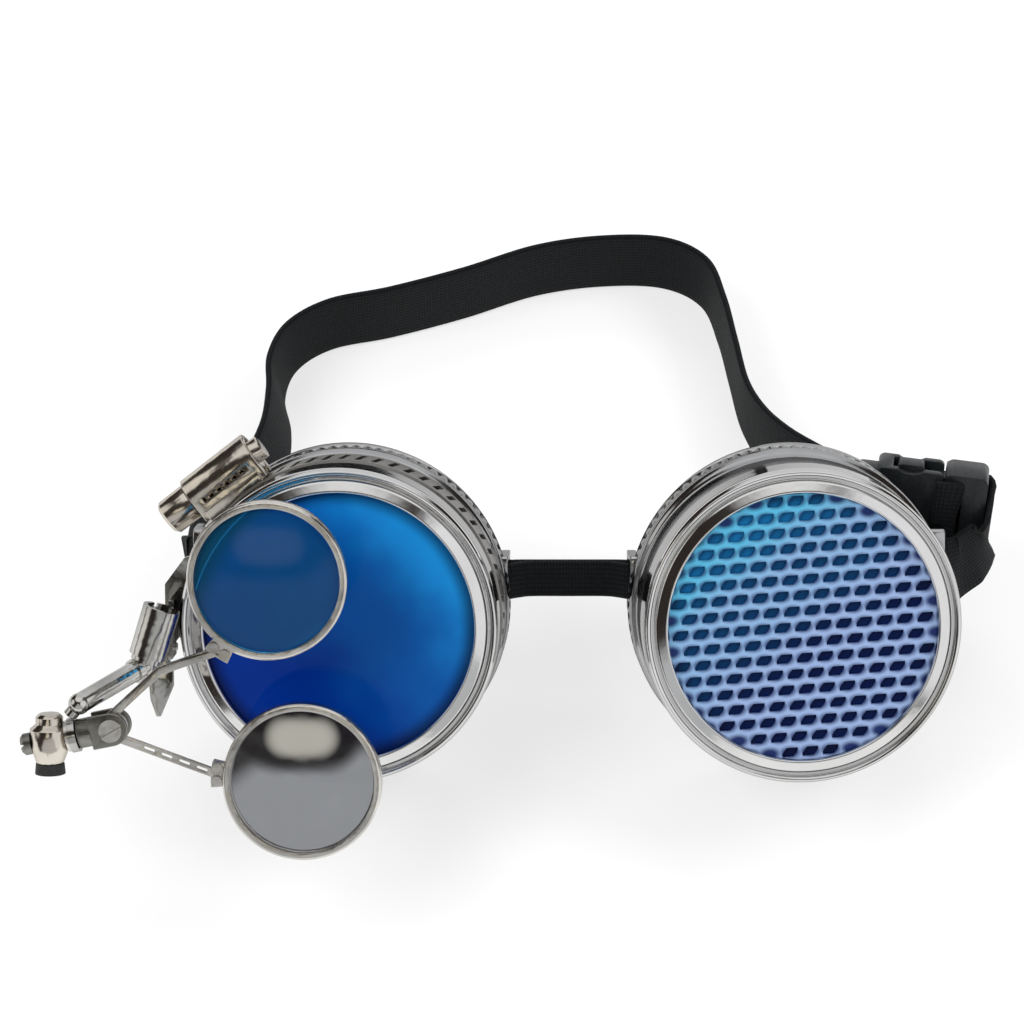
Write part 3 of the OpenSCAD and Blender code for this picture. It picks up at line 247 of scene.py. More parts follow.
def softened(name, body, material, edge):
    """A node's solid with its sharp edges broken, as a tumbled or moulded part has them: a merged copy of its mesh,
    flat parts joined into single faces, with a narrow bevel (in mm) wherever two faces meet at over 32 degrees."""
    shape = bmesh.new()
    shape.from_mesh(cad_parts[name].data)
    bmesh.ops.remove_doubles(shape, verts=shape.verts, dist=2e-6)
    bmesh.ops.dissolve_limit(shape, angle_limit=math.radians(0.6), verts=shape.verts, edges=shape.edges)
    mesh = bpy.data.meshes.new(name + "_finished")
    shape.to_mesh(mesh)
    shape.free()
    mesh.shade_smooth()
    mesh.materials.clear()
    mesh.materials.append(material)
    piece = bpy.data.objects.new(name + "_finished", mesh)
    scene.collection.objects.link(piece)
    bevel = piece.modifiers.new("broken_edge", "BEVEL")
    bevel.width, bevel.segments = edge / 1000, 2
    bevel.limit_method, bevel.angle_limit = "ANGLE", math.radians(32)
    bevel.harden_normals = True
    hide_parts(name)
    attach(piece, body)


def rounded_profile(corners, radii):
    """A closed outline of (radius, depth): each corner is replaced by six points of a quadratic curve between
    two points at the corner's radius along its sides; two more points hold each side straight."""
    p = np.asarray(corners, float)
    r = np.asarray(radii, float)[:, None]
    before, after = np.roll(p, 1, 0) - p, np.roll(p, -1, 0) - p
    len_b, len_a = np.linalg.norm(before, axis=1)[:, None], np.linalg.norm(after, axis=1)[:, None]
    cut_b, cut_a = np.minimum(r, 0.42 * len_b), np.minimum(r, 0.42 * len_a)
    start, end = p + before / len_b * cut_b, p + after / len_a * cut_a
    t = np.linspace(0, 1, 6)[None, :, None]
    curve = (1 - t) ** 2 * start[:, None] + 2 * t * (1 - t) * p[:, None] + t**2 * end[:, None]
    lead = start + (p + before - start) * 0.04
    tail = end + (p + after - end) * 0.04
    return np.concatenate([lead[:, None], curve, tail[:, None]], 1).reshape(-1, 2)


def closed_skin(name, grids, material, poles=False):
    """One mesh of surfaces that are closed both ways: each grid of points wraps round in rows and in columns,
    or, with poles, its first and last columns each meet in one point. A grid whose faces would point inward
    (its signed volume is negative) is taken the other way round."""
    verts, faces, start = [], [], 0
    for grid in grids:
        n, m = grid.shape[:2]
        i, j = np.meshgrid(np.arange(n), np.arange(m - 1 if poles else m), indexing="ij")
        i2, j2 = (i + 1) % n, (j + 1) % m
        quads = np.stack([i * m + j, i2 * m + j, i2 * m + j2, i * m + j2], -1).reshape(-1, 4)
        flat = grid.reshape(-1, 3)
        a, b, c, d = (flat[quads[:, k]] - flat.mean(0) for k in range(4))
        if (np.cross(a, b) * c).sum() + (np.cross(a, c) * d).sum() < 0:
            quads = quads[:, ::-1]
        verts.append(flat)
        faces.append(quads + start)
        start += n * m
    verts, faces = np.vstack(verts), np.vstack(faces)
    mesh = bpy.data.meshes.new(name)
    mesh.vertices.add(len(verts))
    mesh.vertices.foreach_set("co", verts.ravel())
    mesh.loops.add(faces.size)
    mesh.loops.foreach_set("vertex_index", faces.ravel())
    mesh.polygons.add(len(faces))
    mesh.polygons.foreach_set("loop_start", np.arange(len(faces)) * 4)
    mesh.update(calc_edges=True)
    if poles:
        shape = bmesh.new()
        shape.from_mesh(mesh)
        bmesh.ops.remove_doubles(shape, verts=shape.verts, dist=1e-7)
        shape.to_mesh(mesh)
        shape.free()
    mesh.validate()
    mesh.shade_smooth()
    mesh.materials.append(material)
    piece = bpy.data.objects.new(name, mesh)
    scene.collection.objects.link(piece)
    return piece


def turned_grid(profile, around, change=None):
    """A profile of (radius, depth) turned round the cup's axis: outward = r cos, up = r sin of the turn."""
    turn = np.linspace(0, 2 * np.pi, around, endpoint=False)[:, None]
    r = np.broadcast_to(profile[None, :, 0], (around, len(profile)))
    b = np.broadcast_to(profile[None, :, 1], (around, len(profile)))
    if change is not None:
        r, b = change(turn, r, b)
    return np.stack([r * np.cos(turn), b, r * np.sin(turn)], -1)


cup_plating = plating("cup_plating", (0.5, 0.5, 0.505), 0.1, 0.14, 0.2, 0.42)
cup_profile = rounded_profile(
    [[26.82, 5.45], [26.82, 9.75], [29.1, 9.75], [29.1, 19.1], [30.5, 20.4], [30.5, 22.3], [30.3, 22.6], [30.3, 25.8],
     [29.4, 26.1], [29.4, 27.1], [30.5, 27.7], [30.5, 30], [27.8, 30], [27.8, 14.0], [25.05, 11.2], [25.05, 5.45]],
    [0.2, 0.3, 0.4, 2.5, 0.9, 0.15, 0.15, 0.15, 0.3, 0.3, 0.6, 0.7, 0.5, 0.5, 0.3, 0.2])
# Ribs round the cup, the band that they fill, and their depth; depth of the rear rim, where its slant begins,
# and the depth and half the height of its dip
RIBS, BAND_FROM, BAND_TO, BAND_R, RIB_DEPTH = 84, 22.55, 25.95, 29.8, 0.5
REAR_B, SLANT_FROM, DIP, DIP_HALF_H = 30, 26.3, 0.7, 9.0


def cup_shape(turn, r, b):
    """In the band, the radius goes from 0.2 outside the profile to the ribs' depth below that, by a sine's size to
    the power 0.8. The rear rim goes back by a tenth of the way outward, and not beyond its dip at the temple
    strap; that move fades in smoothly from where the slant begins."""
    in_band = (b > BAND_FROM) & (b < BAND_TO) & (r > BAND_R)
    wave = np.abs(np.sin(RIBS / 2 * turn)) ** 0.8
    r = np.where(in_band, r + 0.2 - RIB_DEPTH * (1 - wave), r)
    up, out = r * np.sin(turn), r * np.cos(turn)
    rear = REAR_B + 0.1 * out
    notch = (out > 0) / (1 + np.exp((np.abs(up - TAB_RISE) - DIP_HALF_H) * 6))
    rear = rear + notch * (np.minimum(rear, REAR_B - DIP) - rear)
    w = np.clip((b - SLANT_FROM) / (REAR_B - SLANT_FROM), 0, 1)
    w = w * w * (3 - 2 * w)
    return r, b + (rear - REAR_B) * w


# Strap tabs: outer outline and window in depth, half the plate's thickness, its bevel, both its walls beside
# the window, and the skirt's radius
TAB_OUTER, TAB_WINDOW, TAB_HALF_T, TAB_EDGE, TAB_WALLS, SKIRT_R = (26.15, 34.6), (29.2, 32.4), 0.8, 0.25, 3.4, 28.6


def tab_frame(out_sign, bar_x, width):
    """A strap tab: the space between two rounded rectangles, carried round a rounded box section; its
    inner side follows the skirt's circle where it is rooted, and is a thin plate beside the window."""
    turn = np.linspace(0, 2 * np.pi, 160, endpoint=False)
    c, s = np.cos(turn), np.sin(turn)

    def rectangle(b0, b1, half, power):
        k = (np.abs(c) ** power + np.abs(s) ** power) ** (-1 / power)
        return np.stack([(b0 + b1) / 2 + (b1 - b0) / 2 * c * k, TAB_RISE + half * s * k], 1)

    outer = rectangle(*TAB_OUTER, (width + 1 + TAB_WALLS) / 2, 14)
    inner = rectangle(*TAB_WINDOW, (width + 1) / 2, 20)
    # Stations round the section: share of the way to the window, outer or inner face, and its bevel
    mix = np.array([0, 0.02, 0.5, 0.98, 1, 1, 0.98, 0.5, 0.02, 0])
    face = np.repeat([1, 0], 5)
    bevel = TAB_EDGE * np.array([1, 0, 0, 0, 1, -1, 0, 0, 0, -1])
    bz = outer[:, None] * (1 - mix)[None, :, None] + inner[:, None] * mix[None, :, None]
    rooted = np.clip((TAB_WINDOW[0] - bz[..., 0]) / 0.15, 0, 1)
    skirt = np.minimum(bar_x - TAB_HALF_T, np.sqrt(np.maximum(SKIRT_R**2 - bz[..., 1] ** 2, 1)))
    in_x = (bar_x - TAB_HALF_T) * (1 - rooted) + rooted * skirt
    out_x = bar_x + TAB_HALF_T
    x = np.where(face[None] > 0, out_x - np.maximum(bevel, 0)[None], in_x + np.maximum(-bevel, 0)[None])
    return np.stack([out_sign * x, bz[..., 0], bz[..., 1]], -1)


for side, name in ((-1, "left_cup"), (1, "right_cup")):
    shell = from_cup(side, turned_grid(cup_profile, 1008, cup_shape))
    temple = from_cup(side, tab_frame(1, TEMPLE_X, STRAP_W))
    nose = from_cup(side, tab_frame(-1, NOSE_X, NOSE_W))
    piece = closed_skin(name + "_shell", [shell, temple, nose], cup_plating)
    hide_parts(name)
    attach(piece, "goggles")

# Rubber edges: a soft black lining pushed into each rear rim, which lies on the face.
# Lens washers: flat rings of the same rubber, which press each lens against its ring.


def moulded(name, dark, light, roughness, scale, relief):
    """A moulded rubber or plastic: a fine noise drives both its shade, from dark to light, and its relief."""
    material, nodes, links, surface = node_tree(name)
    surface.inputs["Roughness"].default_value = roughness
    place = nodes.new("ShaderNodeTexCoord")
    grain = nodes.new("ShaderNodeTexNoise")
    grain.inputs["Scale"].default_value = scale
    grain.inputs["Detail"].default_value = 3.0
    links.new(place.outputs["Object"], grain.inputs["Vector"])
    shade = nodes.new("ShaderNodeValToRGB")
    shade.color_ramp.elements[0].position = 0.3
    shade.color_ramp.elements[0].color = tuple(dark) + (1,)
    shade.color_ramp.elements[1].position = 0.7
    shade.color_ramp.elements[1].color = tuple(light) + (1,)
    links.new(grain.outputs["Fac"], shade.inputs["Fac"])
    links.new(shade.outputs["Color"], surface.inputs["Base Color"])
    spark = nodes.new("ShaderNodeBump")
    spark.inputs["Strength"].default_value = relief
    spark.inputs["Distance"].default_value = 0.0001
    links.new(grain.outputs["Fac"], spark.inputs["Height"])
    links.new(spark.outputs["Normal"], surface.inputs["Normal"])
    return material


edge_rubber = moulded("edge_rubber", (0.012, 0.012, 0.012), (0.026, 0.025, 0.024), 0.7, 600.0, 0.4)
for name in ("left_rim_trim", "right_rim_trim", "left_lens_washer", "right_lens_washer"):
    dress(name, edge_rubber)

# Lens rings: turned and plated rings with a raised lip, screwed over the cup's front spigot.
# They hold the lenses, and come off to change them.
ring_plating = plating("ring_plating", (0.72, 0.715, 0.71), 0.06, 0.08, 0.12, 0.5)
ring_profile = rounded_profile(
    [[25.0, 1.4], [25.0, 0.5], [25.35, 0.0], [27.3, 0.75], [27.55, 1.35], [28.3, 1.35], [28.4, 0.7], [29.0, 0.45],
     [29.6, 1.5], [29.6, 8.8], [29.0, 9.4], [26.9, 9.4], [26.9, 1.4]],
    [0.1, 0.2, 0.25, 0.3, 0.2, 0.2, 0.2, 0.5, 0.7, 0.5, 0.4, 0.1, 0.1])
for side, name in ((-1, "left_lens_ring"), (1, "right_lens_ring")):
    piece = closed_skin(name + "_turned", [from_cup(side, turned_grid(ring_profile, 512))], ring_plating)
    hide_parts(name)
    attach(piece, name)

# Lenses: flat acrylic panes, dyed deep blue through, with a painted reflection that makes them brighter towards one
# side, and painted shade that darkens them beside the ring's lip.
# They lie loose between the ring and the washer, and come out with the ring off.


def graded_painted_reflection(name, deep, bright, low, high, spread, shaded_rim=None):
    """A painted reflection: a colour that goes from deep to bright along the line from the low to the high point
    (metres), by the share of the way of each point's foot on that line, moved by a soft noise; painted shade darkens it
    towards a rim of that radius."""
    material, nodes, links, surface = node_tree(name)
    low, high = Vector(low), Vector(high)
    place = nodes.new("ShaderNodeTexCoord")
    along = nodes.new("ShaderNodeVectorMath")
    along.operation = "DOT_PRODUCT"
    along.inputs[1].default_value = (high - low) / (high - low).length_squared
    links.new(place.outputs["Object"], along.inputs[0])
    drift = nodes.new("ShaderNodeTexNoise")
    drift.inputs["Scale"].default_value = 85.0
    drift.inputs["Detail"].default_value = 2.5
    links.new(place.outputs["Object"], drift.inputs["Vector"])
    moved = nodes.new("ShaderNodeMath")
    moved.operation = "MULTIPLY_ADD"
    moved.inputs[1].default_value = spread
    links.new(drift.outputs["Fac"], moved.inputs[0])
    links.new(along.outputs["Value"], moved.inputs[2])
    start = low.dot(high - low) / (high - low).length_squared + spread / 2
    glare_share = nodes.new("ShaderNodeMapRange")
    glare_share.inputs["From Min"].default_value = start
    glare_share.inputs["From Max"].default_value = start + 1
    links.new(moved.outputs[0], glare_share.inputs["Value"])
    ramp = nodes.new("ShaderNodeValToRGB")
    ramp.color_ramp.interpolation = "EASE"
    ramp.color_ramp.elements[0].color = tuple(deep) + (1,)
    ramp.color_ramp.elements[1].color = tuple(bright) + (1,)
    middle = ramp.color_ramp.elements.new(0.5)
    middle.color = tuple(0.75 * a + 0.25 * b for a, b in zip(deep, bright)) + (1,)
    links.new(glare_share.outputs["Result"], ramp.inputs["Fac"])
    colour = ramp.outputs["Color"]
    # Painted shade: the colour darkens towards the ring's lip.
    if shaded_rim is not None:
        centre, radius = shaded_rim
        away = nodes.new("ShaderNodeVectorMath")
        away.operation = "DISTANCE"
        away.inputs[1].default_value = Vector(centre)
        links.new(place.outputs["Object"], away.inputs[0])
        shade = nodes.new("ShaderNodeMapRange")
        shade.interpolation_type = "SMOOTHSTEP"
        shade.inputs["From Min"].default_value = radius - 0.0032
        shade.inputs["From Max"].default_value = radius
        shade.inputs["To Min"].default_value = 0.0
        shade.inputs["To Max"].default_value = 0.75
        links.new(away.outputs["Value"], shade.inputs["Value"])
        edge = nodes.new("ShaderNodeMix")
        edge.data_type = "RGBA"
        links.new(shade.outputs["Result"], edge.inputs["Factor"])
        links.new(colour, edge.inputs["A"])
        edge.inputs["B"].default_value = (0.001, 0.004, 0.03, 1)
        colour = edge.outputs["Result"]
    links.new(colour, surface.inputs["Base Color"])
    return material, surface


# Side, node, deep dyed colour and bright colour of the painted reflection, and the ends of the change of colour in the
# cup's frame (mm)
LENSES = ((-1, "left_lens", (0.0006, 0.026, 0.24), (0.01, 0.25, 0.64), (8.0, 2.4, -12.0), (-20.0, 2.4, 16.0)),
          (1, "right_lens", (0.0005, 0.009, 0.07), (0.008, 0.2, 0.48), (2.0, 3.3, -8.0), (-16.0, 3.3, 20.0)))
# Radius in metres at which the painted shade makes a lens darkest, beside the ring's lip
SIGHT_R = 0.0252
for side, node, deep, bright, low, high in LENSES:
    shaded_rim = (from_cup(side, (0, low[1], 0)), SIGHT_R)
    material, surface = graded_painted_reflection(node + "_dye_and_painted_light", deep, bright, from_cup(side, low), from_cup(side, high), 0.4, shaded_rim)
    surface.inputs["Roughness"].default_value = 0.04
    surface.inputs["IOR"].default_value = 1.49
    surface.inputs["Specular IOR Level"].default_value = 0.08
    surface.inputs["Transmission Weight"].default_value = 0.05
    dress(node, material)

# Grille: a sheet of expanded metal with slanted holes, lacquered pale blue, in front of the right lens; a painted
# reflection turns it cyan towards one side. Each strand is rounded: painted shade darkens it towards the holes, a
# painted highlight lightens its middle, and its relief follows the distance from the nearest hole of the two sets of
# rows.

# Pitch of the holes and of their rows, length and height of a hole in mm, and the rows' rise to the right
HOLE_PITCH, ROW_PITCH, HOLE_L, HOLE_H, ROW_RISE = 3.8, 2.95, 3.0, 1.8, math.radians(4)
# Pale blue lacquer with a painted reflection that turns it cyan towards the upper inner side
grille_lacquer_painted_light, surface = graded_painted_reflection("grille_lacquer_painted_light", (0.27, 0.36, 0.66), (0.08, 0.38, 0.66),
    from_cup(1, (2.0, 1.6, -4.0)), from_cup(1, (-14.0, 1.6, 16.0)), 0.5)
surface.inputs["Metallic"].default_value = 0.3
surface.inputs["Roughness"].default_value = 0.3
nodes, links = grille_lacquer_painted_light.node_tree.nodes, grille_lacquer_painted_light.node_tree.links
place = nodes.new("ShaderNodeTexCoord")
middle = Vector(from_cup(1, (0, 0, 0)))
spot = nodes.new("ShaderNodeCombineXYZ")
rise_c, rise_s = math.cos(ROW_RISE), math.sin(ROW_RISE)
for axis, toward, step in (("X", (rise_c, 0, rise_s), HOLE_PITCH), ("Y", (-rise_s, 0, rise_c), 2 * ROW_PITCH)):
    line = (Vector(from_cup(1, toward)) - middle).normalized()
    foot = nodes.new("ShaderNodeVectorMath")
    foot.operation = "DOT_PRODUCT"
    foot.inputs[1].default_value = line * 1000 / step
    links.new(place.outputs["Object"], foot.inputs[0])
    start = nodes.new("ShaderNodeMath")
    start.inputs[1].default_value = 0.5 - line.dot(middle) * 1000 / step
    links.new(foot.outputs["Value"], start.inputs[0])
    links.new(start.outputs[0], spot.inputs[axis])
nearest = nodes.new("ShaderNodeMath")
nearest.operation = "MINIMUM"
for k in (0, 1):
    turn = spot
    for operation, value in (("ADD", (0.5 * k, 0.5 * k, 0)), ("FRACTION", None), ("SUBTRACT", (0.5, 0.5, 0)),
                             ("MULTIPLY", (2 * HOLE_PITCH / HOLE_L, 4 * ROW_PITCH / HOLE_H, 0)), ("LENGTH", None)):
        step = nodes.new("ShaderNodeVectorMath")
        step.operation = operation
        links.new(turn.outputs[0], step.inputs[0])
        if value:
            step.inputs[1].default_value = value
        turn = step
    links.new(turn.outputs["Value"], nearest.inputs[k])
strand = nodes.new("ShaderNodeMapRange")
strand.interpolation_type = "SMOOTHSTEP"
strand.inputs["From Min"].default_value = 0.6
strand.inputs["From Max"].default_value = 1.75
links.new(nearest.outputs[0], strand.inputs["Value"])
strand_painted_light = nodes.new("ShaderNodeMix")
strand_painted_light.data_type = "RGBA"
strand_painted_light.blend_type = "MULTIPLY"
strand_painted_light.inputs["Factor"].default_value = 1.0
# Painted shade at the hole edges and a painted highlight along the strands' middles, multiplied into the lacquer's
# colour
tone = nodes.new("ShaderNodeValToRGB")
tone.color_ramp.elements[0].color = (0.02, 0.06, 0.2, 1)
tone.color_ramp.elements[1].color = (1.25, 1.3, 1.15, 1)
links.new(strand.outputs["Result"], tone.inputs["Fac"])
links.new(surface.inputs["Base Color"].links[0].from_socket, strand_painted_light.inputs["A"])
links.new(tone.outputs["Color"], strand_painted_light.inputs["B"])
links.new(strand_painted_light.outputs["Result"], surface.inputs["Base Color"])
relief = nodes.new("ShaderNodeBump")
relief.inputs["Strength"].default_value = 0.6
relief.inputs["Distance"].default_value = 0.0003
links.new(strand.outputs["Result"], relief.inputs["Height"])
links.new(relief.outputs["Normal"], surface.inputs["Normal"])
dress("right_grille", grille_lacquer_painted_light)

# Clamp: a slotted steel band round the left barrel, with a pressed nickel saddle that is rolled round it,
# and a worm screw with a slotted head.
band_steel = plating("band_steel", (0.5, 0.49, 0.47), 0.25, 0.3, 0.3)
nickel = plating("warm_nickel", (0.78, 0.72, 0.63), 0.12, 0.35, 0.35)
dress("clamp_band", band_steel)
softened("clamp_saddle", "goggles", nickel, 0.2)
softened("clamp_screw", "clamp_screw", nickel, 0.12)

# Clip, post, fork and arms of the loupes: pressed and turned steel, tumbled so that its edges are broken,
# then plated. The arms are riveted to the loupes' rims, and all turn on one slotted screw.
clip_steel = plating("clip_steel", (0.62, 0.61, 0.58), 0.09, 0.4, 0.5)
dark_steel = plating("dark_steel", (0.4, 0.39, 0.35), 0.24, 0.6, 0.6)
bright_steel = plating("bright_steel", (0.84, 0.81, 0.76), 0.16, 0.5, 0.45, 0.8)
softened("clip_jaw", "clip_jaw", clip_steel, 0.15)
dress("loupe_clip", clip_steel)
dress("loupe_post", clip_steel)
for level in ("upper", "lower"):
    softened(level + "_arm", level + "_loupe", bright_steel, 0.1)
    softened(level + "_loupe_rim", level + "_loupe", bright_steel, 0.1)
for name in ("clip_jaw_pin", "fork_bolt_washer", "pivot_screw", "pivot_nut", "upper_lug_rivets", "lower_lug_rivets"):
    dress(name, bright_steel)
softened("pivot_fork", "pivot_fork", dark_steel, 0.2)
dress("fork_bolt", dark_steel)
softened("swivel_block", "pivot_fork", nickel, 0.2)
softened("fork_lock_screw", "fork_lock_screw", edge_rubber, 0.1)
dress("arm_washer", moulded("washer_plastic", (0.62, 0.61, 0.57), (0.76, 0.76, 0.73), 0.45, 900.0, 0.2))

# Loupe glasses: ground on both sides and held in the rims' grooves. The upper one is dyed teal,
# the lower one has a half-silvered coat.


def loupe_glass(name, colour, silver, clear):
    """Polished lens glass: a share of metal, as its thin coat, over dyed glass, with faint smears in its gloss."""
    material, nodes, links, surface = node_tree(name)
    surface.inputs["Base Color"].default_value = tuple(colour) + (1,)
    surface.inputs["Transmission Weight"].default_value = clear
    surface.inputs["IOR"].default_value = 1.33
    surface.inputs["Specular IOR Level"].default_value = 0.08
    surface.inputs["Metallic"].default_value = silver
    place = nodes.new("ShaderNodeTexCoord")
    dust = nodes.new("ShaderNodeTexNoise")
    dust.inputs["Scale"].default_value = 70.0
    dust.inputs["Detail"].default_value = 2.0
    links.new(place.outputs["Object"], dust.inputs["Vector"])
    gloss = nodes.new("ShaderNodeMapRange")
    gloss.inputs["From Min"].default_value = 0.5
    gloss.inputs["From Max"].default_value = 0.8
    gloss.inputs["To Min"].default_value = 0.012
    gloss.inputs["To Max"].default_value = 0.03
    links.new(dust.outputs["Fac"], gloss.inputs["Value"])
    links.new(gloss.outputs["Result"], surface.inputs["Roughness"])
    return material


# Radius, half the thickness at the edge and bulge of each side in mm, and rows from the middle to the edge
LOUPE_R, LOUPE_EDGE, LOUPE_BULGE, LOUPE_STEPS = 13.6, 0.6, 1.25, 28
share = np.concatenate([np.linspace(0, 1, LOUPE_STEPS), np.linspace(1, 0, LOUPE_STEPS)])
half_t = (LOUPE_EDGE + LOUPE_BULGE * (1 - share**2)) * np.repeat([-1, 1], LOUPE_STEPS)
glass_profile = np.stack([LOUPE_R * share, half_t], 1)
teal_glass = loupe_glass("teal_glass", (0.02, 0.21, 0.42), 0.0, 0.85)
silvered_glass = loupe_glass("half_silvered_glass", (0.5, 0.51, 0.53), 0.8, 1.0)
# Node, body, middle in mm, and glass. Each glass faces the same way as the left cup.
for name, body, centre, glass in (("upper_loupe_lens", "upper_loupe", (-46.444, -40.896, 63.792), teal_glass),
                                  ("lower_loupe_lens", "lower_loupe", (-40.516, -66.587, 36.63), silvered_glass)):
    grid = from_cup(-1, turned_grid(glass_profile, 160)) - from_cup(-1, [0, 0, 0]) + np.array(centre) / 1000
    piece = closed_skin(name + "_ground", [grid], glass, poles=True)
    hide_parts(name)
    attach(piece, body)

# Buckle: moulded black plastic, with a fine sparked grain; the socket takes the plug's two springy prongs,
# whose ends show in its sides.
buckle_plastic = moulded("buckle_plastic", (0.006, 0.0075, 0.0085), (0.014, 0.017, 0.019), 0.38, 1400.0, 0.25)
for name, body in (("buckle_socket", "buckle_socket"), ("buckle_plug", "goggles"),
                   ("upper_buckle_prong", "upper_buckle_prong"), ("lower_buckle_prong", "lower_buckle_prong")):
    softened(name, body, buckle_plastic, 0.22)

# Straps: black elastic webbing, woven flat with fine cords along it and a firm edge.
# Each is looped round its bar and sewn or pushed back through.

# Sides of the tabs' bars, play round a bar, thickness of the webbing, and radius of its loops
BAR_SIDES, PLAY, STRAP_T = (2.2, 1.6), 0.3, 1.2
LOOP_R = math.hypot(*BAR_SIDES) / 2 + PLAY + STRAP_T / 2
# Points round an edge of the webbing, points across its face, and spacing of its rows in metres
EDGE_STEPS, FACE_STEPS, ROW_STEP = 9, 8, 0.0006


def smooth_path(rows, steps):
    """A smooth curve through rows of numbers (cubic through each four neighbours), at even shares of each step."""
    rows = np.asarray(rows, float)
    ends = np.vstack([2 * rows[:1] - rows[1:2], rows, 2 * rows[-1:] - rows[-2:-1]])
    a, b, c, d = ends[:-3, None], ends[1:-2, None], ends[2:-1, None], ends[3:, None]
    t = (np.arange(steps) / steps)[None, :, None]
    curve = 0.5 * (2 * b + (c - a) * t + (2 * a - 5 * b + 4 * c - d) * t**2 + (3 * b - a - 3 * c + d) * t**3)
    return np.vstack([curve.reshape(-1, rows.shape[1]), rows[-1:]])


def even_path(rows, spacing):
    """The same curve with its rows at an even spacing along its length (linear between close rows)."""
    along = np.concatenate([[0], np.cumsum(np.linalg.norm(np.diff(rows[:, :3], axis=0), axis=1))])
    count = max(8, int(along[-1] / spacing))
    at = np.linspace(0, along[-1], count)
    return np.stack([np.interp(at, along, rows[:, k]) for k in range(rows.shape[1])], 1), at


def webbing(name, rows, width, thick, closed=False):
    """A flat band: at each row of the path (middle and direction of the width, in metres) stands a rounded
    rectangle, whose corners are quarter circles of half the thickness; u runs along, v across."""
    path, at = even_path(np.asarray(rows, float), ROW_STEP)
    middle, across = path[:, :3], path[:, 3:6]
    if closed:
        along = np.roll(middle, -1, 0) - np.roll(middle, 1, 0)
    else:
        along = np.gradient(middle, axis=0)
    along /= np.linalg.norm(along, axis=1)[:, None]
    across = across - (across * along).sum(1)[:, None] * along
    across /= np.linalg.norm(across, axis=1)[:, None]
    out = np.cross(along, across)
    flat = np.linspace(-1, 1, FACE_STEPS + 2)[1:-1]
    half_turn = np.linspace(-np.pi / 2, np.pi / 2, EDGE_STEPS)
    corner_r = thick / 2
    right = np.stack([width / 2 - corner_r + corner_r * np.cos(half_turn), corner_r * np.sin(half_turn)], 1)
    top = np.stack([-(width / 2 - corner_r) * flat, np.full(FACE_STEPS, corner_r)], 1)
    section = np.vstack([right, top, -right, -top])
    grid = middle[:, None] + section[None, :, :1] * across[:, None] + section[None, :, 1:] * out[:, None]
    rows_n, cols = grid.shape[:2]
    i, j = np.meshgrid(np.arange(rows_n if closed else rows_n - 1), np.arange(cols), indexing="ij")
    i2, j2 = (i + 1) % rows_n, (j + 1) % cols
    quads = np.stack([i * cols + j, i2 * cols + j, i2 * cols + j2, i * cols + j2], -1).reshape(-1, 4)
    faces = quads[:, ::-1].tolist()
    if not closed:
        faces += [list(range(cols))[::-1], list(range((rows_n - 1) * cols, rows_n * cols))]
    mesh = bpy.data.meshes.new(name)
    mesh.from_pydata(grid.reshape(-1, 3).tolist(), [], faces)
    mesh.shade_smooth()
    uv = mesh.uv_layers.new(name="weave")
    loops = np.empty(len(mesh.loops), int)
    mesh.loops.foreach_get("vertex_index", loops)
    across_v = np.tile(section[:, 0] / width + 0.5, rows_n)
    along_u = np.repeat(at, cols)
    uv.data.foreach_set("uv", np.stack([along_u[loops] * 100, across_v[loops] * width * 100], 1).ravel())
    piece = bpy.data.objects.new(name, mesh)
    scene.collection.objects.link(piece)
    return piece


# A wave texture's scale times its repeat, two pi over twenty. The weave's UV map, and so the repeat, is in centimetres.
WAVE_SCALE = 0.314


